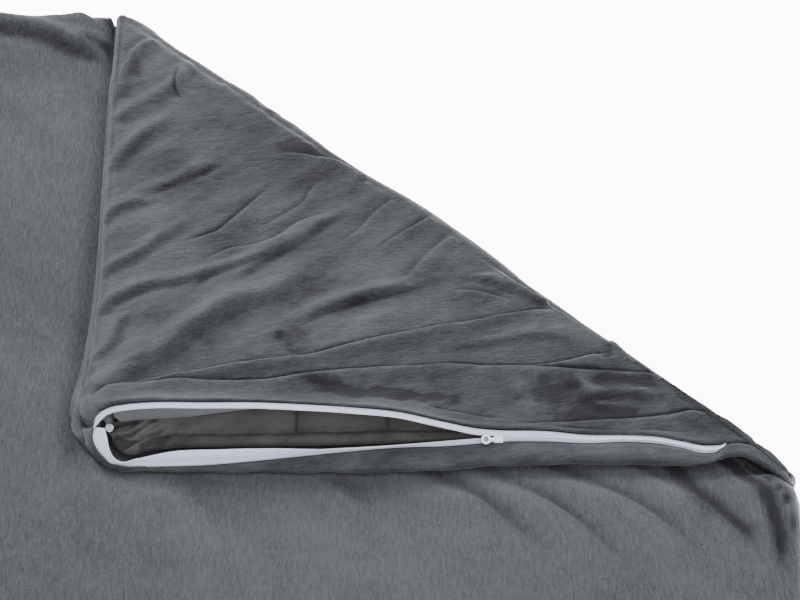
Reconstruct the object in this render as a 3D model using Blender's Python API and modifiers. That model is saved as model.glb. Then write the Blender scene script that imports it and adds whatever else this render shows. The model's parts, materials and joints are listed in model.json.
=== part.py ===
"""A zip-off plush blanket cover over a box-stitched, bead-filled insert, with one corner turned back.

X runs along the blanket's length, Y across it and Z up. The origin is on the floor at the blanket's middle.
The corner at +X +Y is turned over the fold line and lies on top, with its part of the zip half undone.
Everything in a name ending in _corner, the zip's corner pieces, the slider and the pull lie in that flap.
"""

import math

import bmesh
import bpy
from mathutils import Matrix, Vector

# Overall sizes, in metres
BLANKET_LENGTH = 1.83
BLANKET_WIDTH = 1.22
BLANKET_THICKNESS = 0.024
CORNER_RADIUS = 0.030

# Cloth layers
PLUSH = 0.003
SHELL_CLOTH = 0.0008
PADDING = 0.0030
INSERT_MARGIN = 0.012
POCKET_PITCH = 0.1
POCKET_SEAM_DEPTH = 0.0025
GAP = 0.0003

# The fold: how far its two ends are from the turned corner, along the length and along the width
FOLD_ALONG_LENGTH = 0.716
FOLD_ALONG_WIDTH = 0.748
FOLD_CLEARANCE = 0.0005
FLAP_LIFT = 0.0006  # air between the blanket and the flap that lies on it
FLAP_CORNER_SHIFT = 0.018  # the gathered cloth draws the flap's corner in by this much each way

# The zip
TAPE_WIDTH = 0.0085
TAPE_THICKNESS = 0.0005
TAPE_SHOWN = 0.0045
COIL_RADIUS = 0.0008
COIL_SPLIT = 0.0011  # between the two coils, where the slider's divider runs
ZIP_TILT = math.radians(45)
ZIP_SETBACK = 0.024  # from the flap's front edge to the chain
ZIP_HEIGHT = 0.0204  # of the chain above the flap's underside
ZIP_CORNER_INSET = 0.018
ZIP_TIP_INSET = 0.024
ZIP_END_INSET = 0.060

INSERT_SETBACK = 0.010  # of the insert's edge behind the chain
INSERT_TIP_CUT = 0.020  # off the insert where the fold meets the zip

# The open mouth: how far each lip is from the closed chain's line, in Y and in Z, midway and at its start
MOUTH_LENGTH = 0.385
UPPER_LIP = Vector((0.012, 0.034))
LOWER_LIP = Vector((-0.012, -0.004))
UPPER_LIP_START = Vector((0.018, 0.014))
LOWER_LIP_START = Vector((0.002, 0.006))
MOUTH_START_RUN = 0.080
LIP_FALL = 0.085
CORNER_SEAM_RISE = 0.010
CORNER_ROUNDING = Vector((0.045, 0.050))

# The slider and its pull
SLIDER_LENGTH = 0.0095
SLIDER_WALL = 0.0009
SLIDER_CLEARANCE = 0.0004
DIVIDER_WIDTH = 0.0004
DIVIDER_LENGTH = 0.0030
BRIDGE_LENGTH = 0.0056
BRIDGE_WIDTH = 0.0014
BRIDGE_HEIGHT = 0.0027
HINGE_RISE = 0.0013  # of the pull's pin above the slider's top
BRIDGE_HOLE_RADIUS = 0.0008
PIN_RADIUS = 0.00045
PULL_THICKNESS = 0.0011
PULL_HEAD_RADIUS = 0.0021
HEAD_WEB = 0.0018
RING_RADIUS = 0.0048
RING_HOLE_RADIUS = 0.0027
RING_REACH = 0.0125  # from the pin to the ring's middle
NECK_WIDTH = 0.0028
PULL_REST_ANGLE = math.radians(8)

# Corner fasteners
BUTTON_RADIUS = 0.0042
BUTTON_HEIGHT = 0.0040
BUTTON_SPOT = Vector((0.021, 0.0295))  # from the flap's corner
BUTTON_FLOOR = 0.0155  # above the flap's underside
LOOP_WIDTH = 0.006
LOOP_THICKNESS = 0.001
LOOP_PAST_BUTTON = 0.002

ARC_STEPS = 6
MOUTH_STEPS = 14
RUN_STEPS = 6
TIP_SHARE = 0.98
ROWS_BACK = [0.03, 0.06, 0.1, 0.16, 0.26, 0.42, 0.62, 0.82, 1]  # shares of the way from the front to the fold

HALF_LENGTH = BLANKET_LENGTH / 2
HALF_WIDTH = BLANKET_WIDTH / 2
SEAM_HEIGHT = BLANKET_THICKNESS / 2
FLAP_FLOOR = BLANKET_THICKNESS + FLAP_LIFT
FLAP_TOP = FLAP_FLOOR + BLANKET_THICKNESS
FLAP_SEAM = FLAP_FLOOR + SEAM_HEIGHT
HINGE_HEIGHT = BLANKET_THICKNESS + FLAP_LIFT / 2

FOLD_START = Vector((HALF_LENGTH - FOLD_ALONG_LENGTH, HALF_WIDTH))
FOLD_END = Vector((HALF_LENGTH, HALF_WIDTH - FOLD_ALONG_WIDTH))
FOLD_ALONG = (FOLD_END - FOLD_START).normalized()
FOLD_OUT = Vector((-FOLD_ALONG.y, FOLD_ALONG.x))
FLAP_CORNER = Vector((FOLD_START.x, FOLD_END.y)) + Vector((1, 1)) * FLAP_CORNER_SHIFT

# The chain runs along X. ACROSS points from the lower tape to the upper one, and FACE out of the zip's face.
ACROSS = Vector((0, math.cos(ZIP_TILT), math.sin(ZIP_TILT)))
FACE = Vector((0, -math.sin(ZIP_TILT), math.cos(ZIP_TILT)))
ALONG = Vector((1, 0, 0))
ZIP_Y = FLAP_CORNER.y + ZIP_SETBACK
ZIP_Z = FLAP_FLOOR + ZIP_HEIGHT
ZIP_START_X = FLAP_CORNER.x + ZIP_CORNER_INSET
MOUTH_END_X = ZIP_START_X + MOUTH_LENGTH
COIL_OFFSET = COIL_SPLIT / 2 + COIL_RADIUS
TAPE_START = COIL_OFFSET + COIL_RADIUS + 3 * GAP
WELT_START = TAPE_START + TAPE_SHOWN
TAPE_END = TAPE_START + TAPE_WIDTH - COIL_OFFSET
WELT_END = TAPE_END + PLUSH
WELT_RISE = PLUSH + TAPE_THICKNESS / 2 + 5 * GAP


def fold_x(y, inset=FOLD_CLEARANCE):
    """X on the fold line at this Y, moved in from the line by inset."""
    return FOLD_START.x + (FOLD_START.y - y) * FOLD_OUT.y / FOLD_OUT.x - inset / FOLD_OUT.x


ZIP_RUN_END_X = fold_x(ZIP_Y) - ZIP_TIP_INSET

COLOURS = {
    "plush": ((0.145, 0.155, 0.170), 0.95),
    "insert_cloth": ((0.075, 0.075, 0.078), 0.85),
    "padding": ((0.80, 0.80, 0.78), 1.0),
    "beads": ((0.62, 0.66, 0.68), 0.35),
    "zip_white": ((0.62, 0.64, 0.70), 0.55),
    "slider_white": ((0.80, 0.82, 0.84), 0.35),
    "button": ((0.66, 0.70, 0.74), 0.30),
}


def clear_scene():
    for old in list(bpy.data.objects):
        bpy.data.objects.remove(old)


def collection(name):
    made = bpy.data.collections.new(name)
    bpy.context.scene.collection.children.link(made)
    return made


def material(name):
    found = bpy.data.materials.get(name)
    if found:
        return found
    made = bpy.data.materials.new(name)
    made.use_nodes = True
    colour, roughness = COLOURS[name]
    shader = made.node_tree.nodes["Principled BSDF"]
    shader.inputs["Base Color"].default_value = (*colour, 1)
    shader.inputs["Roughness"].default_value = roughness
    shader.inputs["Metallic"].default_value = 0.0
    return made


def place(name, data, slot=None):
    """A new object of this data: a part with its material, or a cutter if it has none."""
    made = bpy.data.objects.new(name, data)
    if slot:
        data.materials.append(material(slot))
        parts.objects.link(made)
    else:
        made.hide_render = True
        made.display_type = "WIRE"
        cutters.objects.link(made)
    return made


def as_mesh(made):
    """The same object as a welded mesh, so that it can be cut or can cut."""
    bpy.context.view_layer.update()
    graph = bpy.context.evaluated_depsgraph_get()
    data = bpy.data.meshes.new_from_object(made.evaluated_get(graph))
    form = bmesh.new()
    form.from_mesh(data)
    bmesh.ops.remove_doubles(form, verts=form.verts, dist=1e-6)
    bmesh.ops.recalc_face_normals(form, faces=form.faces)
    form.to_mesh(data)
    form.free()
    name, where, hidden = made.name, made.matrix_world.copy(), made.hide_render
    home = made.users_collection[0]
    bpy.data.objects.remove(made)
    solid = bpy.data.objects.new(name, data)
    solid.matrix_world = where
    home.objects.link(solid)
    if hidden:
        solid.hide_render = True
        solid.display_type = "WIRE"
    return solid


def boolean(target, tool, operation="DIFFERENCE"):
    step = target.modifiers.new(tool.name, "BOOLEAN")
    step.operation = operation
    step.object = tool


def rounded(corners):
    """The outline through these (point, radius) corners, counter-clockwise, with each round one as an arc."""
    outline = []
    for i, (corner, radius) in enumerate(corners):
        if not radius:
            outline.append(corner)
            continue
        before = (corners[i - 1][0] - corner).normalized()
        after = (corners[(i + 1) % len(corners)][0] - corner).normalized()
        half = before.angle(after) / 2
        centre = corner + (before + after).normalized() * radius / math.sin(half)
        first = corner + before * radius / math.tan(half) - centre
        turn = math.pi - 2 * half
        for k in range(ARC_STEPS + 1):
            arm = first.copy()
            arm.rotate(Matrix.Rotation(turn * k / ARC_STEPS, 2))
            outline.append(centre + arm)
    return outline


def prism(name, corners, low, high, slot=None):
    """A flat outline of (point, radius) corners, extruded from one height to the other."""
    outline = rounded(corners)
    curve = bpy.data.curves.new(name, "CURVE")
    curve.dimensions = "2D"
    curve.fill_mode = "BOTH"
    curve.extrude = (high - low) / 2
    spline = curve.splines.new("POLY")
    spline.points.add(len(outline) - 1)
    for point, corner in zip(spline.points, outline):
        point.co = (corner.x, corner.y, 0, 1)
    spline.use_cyclic_u = True
    made = place(name, curve, slot)
    made.location.z = (low + high) / 2
    return as_mesh(made)


def box(name, low, high, slot=None):
    """A box between two corners."""
    form = bmesh.new()
    bmesh.ops.create_cube(form, size=1)
    low, high = Vector(low), Vector(high)
    size = high - low
    bmesh.ops.scale(form, verts=form.verts, vec=size)
    bmesh.ops.translate(form, verts=form.verts, vec=(low + high) / 2)
    data = bpy.data.meshes.new(name)
    form.to_mesh(data)
    form.free()
    return place(name, data, slot)


def sheet(name, rows, thickness, slot):
    """A cloth through rows of points, with its thickness on the side away from its face."""
    across, along = len(rows) - 1, len(rows[0]) - 1
    form = bmesh.new()
    bmesh.ops.create_grid(form, x_segments=along, y_segments=across, size=1)
    for vert in form.verts:
        i = round((vert.co.y + 1) / 2 * across)
        j = round((vert.co.x + 1) / 2 * along)
        vert.co = rows[i][j]
    data = bpy.data.meshes.new(name)
    form.to_mesh(data)
    form.free()
    made = place(name, data, slot)
    wall = made.modifiers.new("cloth", "SOLIDIFY")
    wall.thickness = thickness
    wall.offset = -1
    wall.use_even_offset = True
    return made


def bar(name, points, radius, slot):
    """A round bar along a line of points."""
    curve = bpy.data.curves.new(name, "CURVE")
    curve.dimensions = "3D"
    curve.bevel_depth = radius
    curve.bevel_resolution = 1
    curve.use_fill_caps = True
    spline = curve.splines.new("POLY")
    spline.points.add(len(points) - 1)
    for point, where in zip(spline.points, points):
        point.co = (*where, 1)
    return place(name, curve, slot)


def mix(a, b, share):
    return a + (b - a) * share


# ---- The blanket: everything but the turned corner ----


def blanket_outline(inset, fold_inset=FOLD_CLEARANCE):
    """The rectangle less its turned corner, drawn in by inset, and by fold_inset along the fold."""
    left, right = inset - HALF_LENGTH, HALF_LENGTH - inset
    near, far = inset - HALF_WIDTH, HALF_WIDTH - inset
    fold_y = FOLD_START.y - (right - FOLD_START.x + fold_inset / FOLD_OUT.x) * FOLD_OUT.x / FOLD_OUT.y
    radius = max(CORNER_RADIUS - inset, CORNER_RADIUS / 2)
    return [
        (Vector((left, near)), radius),
        (Vector((right, near)), radius),
        (Vector((right, fold_y)), 0),
        (Vector((fold_x(far, fold_inset), far)), 0),
        (Vector((left, far)), radius),
    ]


def make_cover():
    """The two plush panels meet in a seam at half height, and leave a slot for the zip along the end."""
    past_fold = -2 * PLUSH
    hollow = prism(
        "cover_hollow", blanket_outline(PLUSH, past_fold), PLUSH, BLANKET_THICKNESS - PLUSH
    )
    slot_half = COIL_OFFSET + COIL_RADIUS + GAP
    zip_slot = box(
        "zip_slot",
        (HALF_LENGTH - 2 * PLUSH, ZIP_END_INSET - HALF_WIDTH, SEAM_HEIGHT - slot_half),
        (HALF_LENGTH + PLUSH, FOLD_END.y + PLUSH, SEAM_HEIGHT + slot_half),
    )
    top = prism(
        "cover_top_panel", blanket_outline(0), SEAM_HEIGHT + GAP / 2, BLANKET_THICKNESS, "plush"
    )
    bottom = prism("cover_bottom_panel", blanket_outline(0), 0, SEAM_HEIGHT - GAP / 2, "plush")
    for panel in (top, bottom):
        boolean(panel, hollow)
        boolean(panel, zip_slot)


def insert_layers(floor, turned):
    """The insert's layers from the bottom up, as (name, low, high, slot), with a gap between each two."""
    ceiling = floor + BLANKET_THICKNESS - 2 * (PLUSH + GAP)
    beads = ceiling - floor - 2 * (SHELL_CLOTH + PADDING) - 4 * GAP
    layers = [
        ("insert_lower_shell", SHELL_CLOTH, "insert_cloth"),
        ("insert_lower_padding", PADDING, "padding"),
        ("insert_bead_pockets", beads, "beads"),
        ("insert_upper_padding", PADDING, "padding"),
        ("insert_upper_shell", SHELL_CLOTH, "insert_cloth"),
    ]
    made, low = [], floor
    for name, thickness, slot in reversed(layers) if turned else layers:
        made.append((name, low, low + thickness, slot))
        low += thickness + GAP
    return made


def pocket_grooves(name, x_span, y_span, top):
    """Bars that press the pocket seams into the bead layer's top, a pocket apart."""
    form = bmesh.new()
    seams = []
    start = math.ceil(x_span[0] / POCKET_PITCH) * POCKET_PITCH
    while start < x_span[1]:
        seams.append(((start, sum(y_span) / 2), (POCKET_SEAM_DEPTH, y_span[1] - y_span[0])))
        start += POCKET_PITCH
    start = math.ceil(y_span[0] / POCKET_PITCH) * POCKET_PITCH
    while start < y_span[1]:
        seams.append(((sum(x_span) / 2, start), (x_span[1] - x_span[0], POCKET_SEAM_DEPTH)))
        start += POCKET_PITCH
    for (x, y), (long, wide) in seams:
        cube = bmesh.ops.create_cube(form, size=1)["verts"]
        bmesh.ops.scale(form, verts=cube, vec=(long, wide, 2 * POCKET_SEAM_DEPTH))
        bmesh.ops.translate(form, verts=cube, vec=(x, y, top))
    data = bpy.data.meshes.new(name)
    form.to_mesh(data)
    form.free()
    return place(name, data)


def make_insert():
    """The insert: shells, padding and bead pockets, all of one outline, and the binding round their edge."""
    floor = PLUSH + GAP
    span = INSERT_MARGIN + SHELL_CLOTH + GAP
    for name, low, high, slot in insert_layers(floor, False):
        layer = prism(name, blanket_outline(span), low, high, slot)
        if name == "insert_bead_pockets":
            spans = (-HALF_LENGTH, HALF_LENGTH), (-HALF_WIDTH, HALF_WIDTH)
            grooves = pocket_grooves("pocket_seams", *spans, high)
            boolean(layer, grooves)
            layer.modifiers[-1].use_self = True
    binding = prism(
        "insert_binding",
        blanket_outline(INSERT_MARGIN),
        floor,
        floor + BLANKET_THICKNESS - 2 * (PLUSH + GAP),
        "insert_cloth",
    )
    inside = prism(
        "binding_inside",
        blanket_outline(INSERT_MARGIN + SHELL_CLOTH, -2 * PLUSH),
        0,
        BLANKET_THICKNESS,
    )
    boolean(binding, inside)


def make_blanket_zip():
    """The rest of the zip, down the blanket's end: the tapes stand behind the slot and the coils lie in it."""
    near = ZIP_END_INSET - HALF_WIDTH + GAP
    far = FOLD_END.y - ZIP_CORNER_INSET
    tape_x = HALF_LENGTH - 2 * PLUSH - GAP
    coil_x = HALF_LENGTH - 2 * PLUSH + COIL_RADIUS
    reach = min(COIL_SPLIT / 2 + TAPE_WIDTH, SEAM_HEIGHT - PLUSH - GAP)
    stop = COIL_OFFSET + COIL_RADIUS
    for name, side in (("top", 1), ("bottom", -1)):
        heights = sorted((SEAM_HEIGHT + side * COIL_SPLIT / 2, SEAM_HEIGHT + side * reach))
        low = (tape_x - TAPE_THICKNESS, near, heights[0])
        box(f"zip_{name}_tape", low, (tape_x, far, heights[1]), "zip_white")
        height = SEAM_HEIGHT + side * COIL_OFFSET
        ends = [Vector((coil_x, near + 2 * stop + GAP, height)), Vector((coil_x, far, height))]
        bar(f"zip_{name}_coil", ends, COIL_RADIUS, "zip_white")
    box(
        "zip_end_stop",
        (coil_x - COIL_RADIUS, near, SEAM_HEIGHT - stop),
        (coil_x + COIL_RADIUS, near + 2 * stop, SEAM_HEIGHT + stop),
        "slider_white",
    )


# ---- The turned corner ----


def flap_outline(inset, fold_inset=FOLD_CLEARANCE):
    """The insert's corner in the flap, drawn in by inset from the cover's edges and by fold_inset at the fold."""
    lean = (FOLD_START - FLAP_CORNER).normalized()
    front = ZIP_Y + INSERT_SETBACK + inset - INSERT_MARGIN
    left = FLAP_CORNER.x + PLUSH + inset / lean.y
    tip = front + INSERT_TIP_CUT
    slope = lean.x / lean.y
    fold_slope = FOLD_OUT.y / FOLD_OUT.x
    apex = (fold_x(0, fold_inset) - left + FLAP_CORNER.y * slope) / (slope + fold_slope)
    return [
        (Vector((left + (front - FLAP_CORNER.y) * slope, front)), CORNER_RADIUS),
        (Vector((fold_x(tip, fold_inset), front)), 0),
        (Vector((fold_x(tip, fold_inset), tip)), 0),
        (Vector((fold_x(apex, fold_inset), apex)), 0),
    ]


def mouth_curve(x, upper):
    """The chain's middle at X, on the upper or the lower lip. The lips part where the zip is undone."""
    middle = Vector((x, ZIP_Y, ZIP_Z))
    if x >= MOUTH_END_X:
        return middle
    t = (x - ZIP_START_X) / MOUTH_LENGTH
    opening = 1 - min(1, max(0, x - ZIP_START_X) / MOUTH_START_RUN)
    if upper:
        shift = mix(UPPER_LIP * (1 - t**4), UPPER_LIP_START, opening**2)
    else:
        shift = mix(LOWER_LIP * (1 - t**2), LOWER_LIP_START, opening**2)
    return middle + Vector((0, *shift))


def zip_stations():
    """X values along the corner's zip: those of the flap's stations, and the zip's end at the fold."""
    width = fold_x(FLAP_CORNER.y) - FLAP_CORNER.x
    stations = [FLAP_CORNER.x + share * width for share, rise in flap_stations() if rise == 1]
    chosen = [x for x in stations if ZIP_START_X - GAP < x < ZIP_RUN_END_X - GAP]
    return chosen + [ZIP_RUN_END_X]


def make_corner_zip():
    """The zip's two tapes along the lips of the mouth, and on each tape its coil."""
    for name, side in (("upper", 1), ("lower", -1)):
        line = [mouth_curve(x, side > 0) for x in zip_stations()]
        coil = [point + ACROSS * side * COIL_OFFSET for point in line]
        bar(f"zip_{name}_coil_corner", coil, COIL_RADIUS, "zip_white")
        rows = [
            [p + ACROSS * side * reach + FACE * TAPE_THICKNESS / 2 for p in line]
            for reach in (TAPE_START, TAPE_END)
        ]
        tape = rows if side > 0 else rows[::-1]
        sheet(f"zip_{name}_tape_corner", tape, TAPE_THICKNESS, "zip_white")
        stop = line[0] + ACROSS * side * COIL_OFFSET - ALONG * (GAP + 2 * COIL_RADIUS)
        box(
            f"zip_{name}_stop",
            stop - Vector((1, 1, 1)) * COIL_RADIUS * 0.9,
            stop + Vector((1, 1, 1)) * COIL_RADIUS * 0.9,
            "slider_white",
        )


def flap_front(x):
    """Y of the flap's front edge at X, rounded at the corner."""
    share = 1 - min(1, (x - FLAP_CORNER.x) / CORNER_ROUNDING.x)
    return FLAP_CORNER.y + CORNER_ROUNDING.y * (1 - math.sqrt(1 - share**2))


def flap_station(share):
    """Where the front edge and the fold are, at this share of the way from the flap's left edge to its tip."""
    tip = Vector((fold_x(FLAP_CORNER.y), FLAP_CORNER.y))
    start = Vector((fold_x(HALF_WIDTH - PLUSH), HALF_WIDTH - PLUSH))
    front = FLAP_CORNER.lerp(tip, share)
    front.y = flap_front(front.x)
    return front, start.lerp(tip, share)


def flap_stations():
    """Places along the front as (share of the way, share of the rise from the side seam)."""
    width = fold_x(FLAP_CORNER.y) - FLAP_CORNER.x
    steps = [(i / MOUTH_STEPS) ** 1.6 for i in range(MOUTH_STEPS + 1)]
    mouth = [(ZIP_CORNER_INSET + MOUTH_LENGTH * step) / width for step in steps]
    run = [mix(mouth[-1], TIP_SHARE, (i + 1) / RUN_STEPS) for i in range(RUN_STEPS)]
    side = [(0, 0), (0, 0.7), (0.6 * mouth[0], 1)]
    return side + [(share, 1) for share in mouth + run]


def side_seam(share):
    """The height of the flap's side seam, which climbs to the zip's end at the corner."""
    climb = 1 - min(1, share / ROWS_BACK[3])
    return FLAP_SEAM + (ZIP_Z + CORNER_SEAM_RISE - FLAP_SEAM) * climb**2


def make_upper_panel():
    """The panel that shows on the turned corner: from the upper lip it falls to rest, and back to the fold."""
    rows = [[] for _ in range(len(ROWS_BACK) + 2)]
    for share, rise in flap_stations():
        front, fold = flap_station(share)
        lip = mouth_curve(max(front.x, ZIP_START_X), True) + ACROSS * WELT_START + FACE * WELT_RISE
        welt = lip + ACROSS * (WELT_END - WELT_START)
        above = max(0, welt.z - FLAP_TOP)
        if rise < 1:
            lip.y, welt.y = front.y + PLUSH, front.y + 2 * PLUSH
        start = Vector((front.x, welt.y))
        falling = min(LIP_FALL, 0.8 * (fold - start).length)
        rows[0].append(Vector((front.x, lip.y, mix(side_seam(0) + GAP, lip.z, rise))))
        for row, back in zip(rows[1:], [0] + ROWS_BACK):
            spot = start.lerp(fold, back)
            fall = min(1, (spot - start).length / falling)
            height = FLAP_TOP + above * (1 + math.cos(math.pi * fall)) / 2
            height = mix(side_seam(back) + GAP, height, rise)
            row.append(Vector((spot.x, spot.y, height)))
    sheet("cover_bottom_panel_corner", rows, PLUSH, "plush")


def make_lower_panel():
    """The panel under the turned corner: from the lower lip round a welt, and flat on the blanket to the fold."""
    rows = [[] for _ in range(len(ROWS_BACK) + 4)]
    for share, rise in flap_stations():
        front, fold = flap_station(share)
        lip = mouth_curve(max(front.x, ZIP_START_X), False) - ACROSS * WELT_START + FACE * WELT_RISE
        welt = lip - ACROSS * (WELT_END - WELT_START)
        heel = Vector((front.x, front.y + PLUSH))
        toe = min(welt.y, heel.y) - PLUSH
        if rise < 1:
            lip.y, welt.y, toe = (heel.y - PLUSH * part for part in (1, 0.7, 0.4))
        low = min(FLAP_FLOOR + 2 * PLUSH, mix(FLAP_FLOOR, welt.z, 0.5))
        profile = [(lip.y, lip.z, 0), (welt.y, welt.z, 0), (toe, low, 0), (heel.y, FLAP_FLOOR, 0)]
        profile += [(None, FLAP_FLOOR, back) for back in ROWS_BACK]
        for row, (y, height, back) in zip(rows, profile):
            spot = heel.lerp(fold, back)
            height = mix(side_seam(back) - GAP, height, rise)
            row.append(Vector((spot.x, spot.y if y is None else y, height)))
    for row in rows:
        row.reverse()
    sheet("cover_top_panel_corner", rows, PLUSH, "plush")


def make_corner_insert():
    """The insert's turned corner: the same layers as the blanket's, the other way up."""
    floor = FLAP_FLOOR + PLUSH + GAP
    span = INSERT_MARGIN + SHELL_CLOTH + GAP
    for name, low, high, slot in insert_layers(floor, True):
        prism(f"{name}_corner", flap_outline(span), low, high, slot)
    height = BLANKET_THICKNESS - 2 * (PLUSH + GAP)
    outline = flap_outline(INSERT_MARGIN)
    binding = prism("insert_binding_corner", outline, floor, floor + height, "insert_cloth")
    outline = flap_outline(INSERT_MARGIN + SHELL_CLOTH, -2 * PLUSH)
    inside = prism("corner_binding_inside", outline, floor - PLUSH, floor + height + PLUSH)
    boolean(binding, inside)


def make_corner_fastener():
    """The button inside the cover's corner, and the loop on the insert's corner that goes round it."""
    middle = FLAP_CORNER + BUTTON_SPOT
    low = FLAP_FLOOR + BUTTON_FLOOR
    prism("corner_button", circle(middle, BUTTON_RADIUS, 16), low, low + BUTTON_HEIGHT, "button")
    corner = flap_outline(INSERT_MARGIN)[0][0] + Vector((CORNER_RADIUS, CORNER_RADIUS))
    off = corner.x - middle.x - LOOP_WIDTH / 2
    insert_y = corner.y - math.sqrt(CORNER_RADIUS**2 - off**2)
    loop_y = middle.y - BUTTON_RADIUS - LOOP_PAST_BUTTON
    box(
        "corner_loop",
        (middle.x - LOOP_WIDTH / 2, loop_y, low - GAP - LOOP_THICKNESS),
        (middle.x + LOOP_WIDTH / 2, insert_y - 3 * GAP, low - GAP),
        "insert_cloth",
    )


def zip_frame(x):
    """From the slider's own axes (along the zip, across it, out of its face) to the world, at X on the chain."""
    frame = Matrix((ALONG, ACROSS, FACE)).transposed().to_4x4()
    frame.translation = (x, ZIP_Y, ZIP_Z)
    return frame


def make_slider():
    """The slider: two plates with side flanges, the divider between them at the open end, and the bridge."""
    inner_height = COIL_RADIUS + SLIDER_CLEARANCE
    outer_height = inner_height + SLIDER_WALL
    inner_width = COIL_OFFSET + COIL_RADIUS + SLIDER_CLEARANCE
    outer_width = inner_width + SLIDER_WALL
    half = SLIDER_LENGTH / 2
    long = half + PLUSH
    slit = TAPE_THICKNESS / 2 + GAP
    corner = Vector((half, outer_width, outer_height))
    body = box("slider_body", -corner, corner, "slider_white")
    edges = body.modifiers.new("edges", "BEVEL")
    edges.width = 0.6 * SLIDER_WALL
    edges.segments = 2
    corner = Vector((long, inner_width, inner_height))
    tunnel = box("slider_tunnel", -corner, corner)
    corner = Vector((long, outer_width + PLUSH, slit))
    slots = box("slider_slots", -corner, corner)
    start = SLIDER_WALL - half
    divider = box(
        "slider_divider",
        (start, -DIVIDER_WIDTH / 2, -inner_height - SLIDER_WALL / 2),
        (start + DIVIDER_LENGTH, DIVIDER_WIDTH / 2, inner_height + SLIDER_WALL / 2),
    )
    bridge = box(
        "slider_bridge",
        (-BRIDGE_LENGTH / 2, -BRIDGE_WIDTH / 2, outer_height - SLIDER_WALL / 2),
        (BRIDGE_LENGTH / 2, BRIDGE_WIDTH / 2, outer_height + BRIDGE_HEIGHT),
    )
    edges = bridge.modifiers.new("edges", "BEVEL")
    edges.width = BRIDGE_WIDTH / 4
    edges.segments = 1
    rim = circle(Vector((0, 0)), BRIDGE_HOLE_RADIUS, 12)
    hole = prism("bridge_hole", rim, -BRIDGE_WIDTH, BRIDGE_WIDTH)
    hole.rotation_euler.x = math.radians(90)
    hole.location.z = outer_height + HINGE_RISE
    boolean(body, tunnel)
    boolean(body, slots)
    boolean(body, divider, "UNION")
    boolean(body, bridge, "UNION")
    boolean(body, hole)
    frame = zip_frame(MOUTH_END_X + GAP + half)
    bpy.context.view_layer.update()
    for piece in (body, tunnel, slots, divider, bridge, hole):
        piece.matrix_world = frame @ piece.matrix_world
    make_pull(frame @ Vector((0, 0, outer_height + HINGE_RISE)))


def make_pull(pin):
    """The pull: a ring on a neck, whose head straddles the bridge with the pin across it."""
    half = PULL_THICKNESS / 2
    middle = Vector((-RING_REACH, 0))
    head_start = BRIDGE_LENGTH / 2 + GAP
    pull = prism("slider_pull", circle(middle, RING_RADIUS, 24), -half, half, "slider_white")
    ring_hole = prism("ring_hole", circle(middle, RING_HOLE_RADIUS, 20), -PLUSH, PLUSH)
    neck = box(
        "pull_neck",
        (0.9 * RING_RADIUS - RING_REACH, -NECK_WIDTH / 2, -half),
        (-head_start, NECK_WIDTH / 2, half),
    )
    head = box(
        "pull_head",
        (-head_start - HEAD_WEB, -PULL_HEAD_RADIUS, -half),
        (PIN_RADIUS + GAP, PULL_HEAD_RADIUS, half),
    )
    slot_half = BRIDGE_WIDTH / 2 + GAP
    slot = box("pull_slot", (-head_start, -slot_half, -PLUSH), (PLUSH, slot_half, PLUSH))
    rim = circle(Vector((0, 0)), PIN_RADIUS, 10)
    rod = prism("pull_pin", rim, -0.9 * PULL_HEAD_RADIUS, 0.9 * PULL_HEAD_RADIUS)
    rod.rotation_euler.x = math.radians(90)
    boolean(pull, neck, "UNION")
    boolean(pull, head, "UNION")
    boolean(pull, slot)
    boolean(pull, rod, "UNION")
    boolean(pull, ring_hole)
    frame = zip_frame(0)
    frame.translation = pin
    frame = frame @ Matrix.Rotation(PULL_REST_ANGLE, 4, "Y")
    bpy.context.view_layer.update()
    for piece in (pull, ring_hole, neck, head, slot, rod):
        piece.matrix_world = frame @ piece.matrix_world


def circle(middle, radius, steps):
    """A circle as corners with no rounding."""
    arms = [2 * math.pi * i / steps for i in range(steps)]
    return [(middle + Vector((math.cos(a), math.sin(a))) * radius, 0) for a in arms]


def carry(pieces):
    """Hangs these pieces on an empty that lies on the fold line."""
    hinge = bpy.data.objects.new("corner_fold", None)
    hinge.location = (*FOLD_START, HINGE_HEIGHT)
    parts.objects.link(hinge)
    bpy.context.view_layer.update()
    for piece in pieces:
        piece.parent = hinge
        piece.matrix_parent_inverse = hinge.matrix_world.inverted()


def main():
    make_cover()
    make_insert()
    make_blanket_zip()
    blanket = set(bpy.data.objects)
    make_corner_zip()
    make_upper_panel()
    make_lower_panel()
    make_corner_insert()
    make_corner_fastener()
    make_slider()
    carry(set(bpy.data.objects) - blanket)


clear_scene()
parts = collection("zip_cover_blanket")
cutters = collection("cutters")
main()
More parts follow.
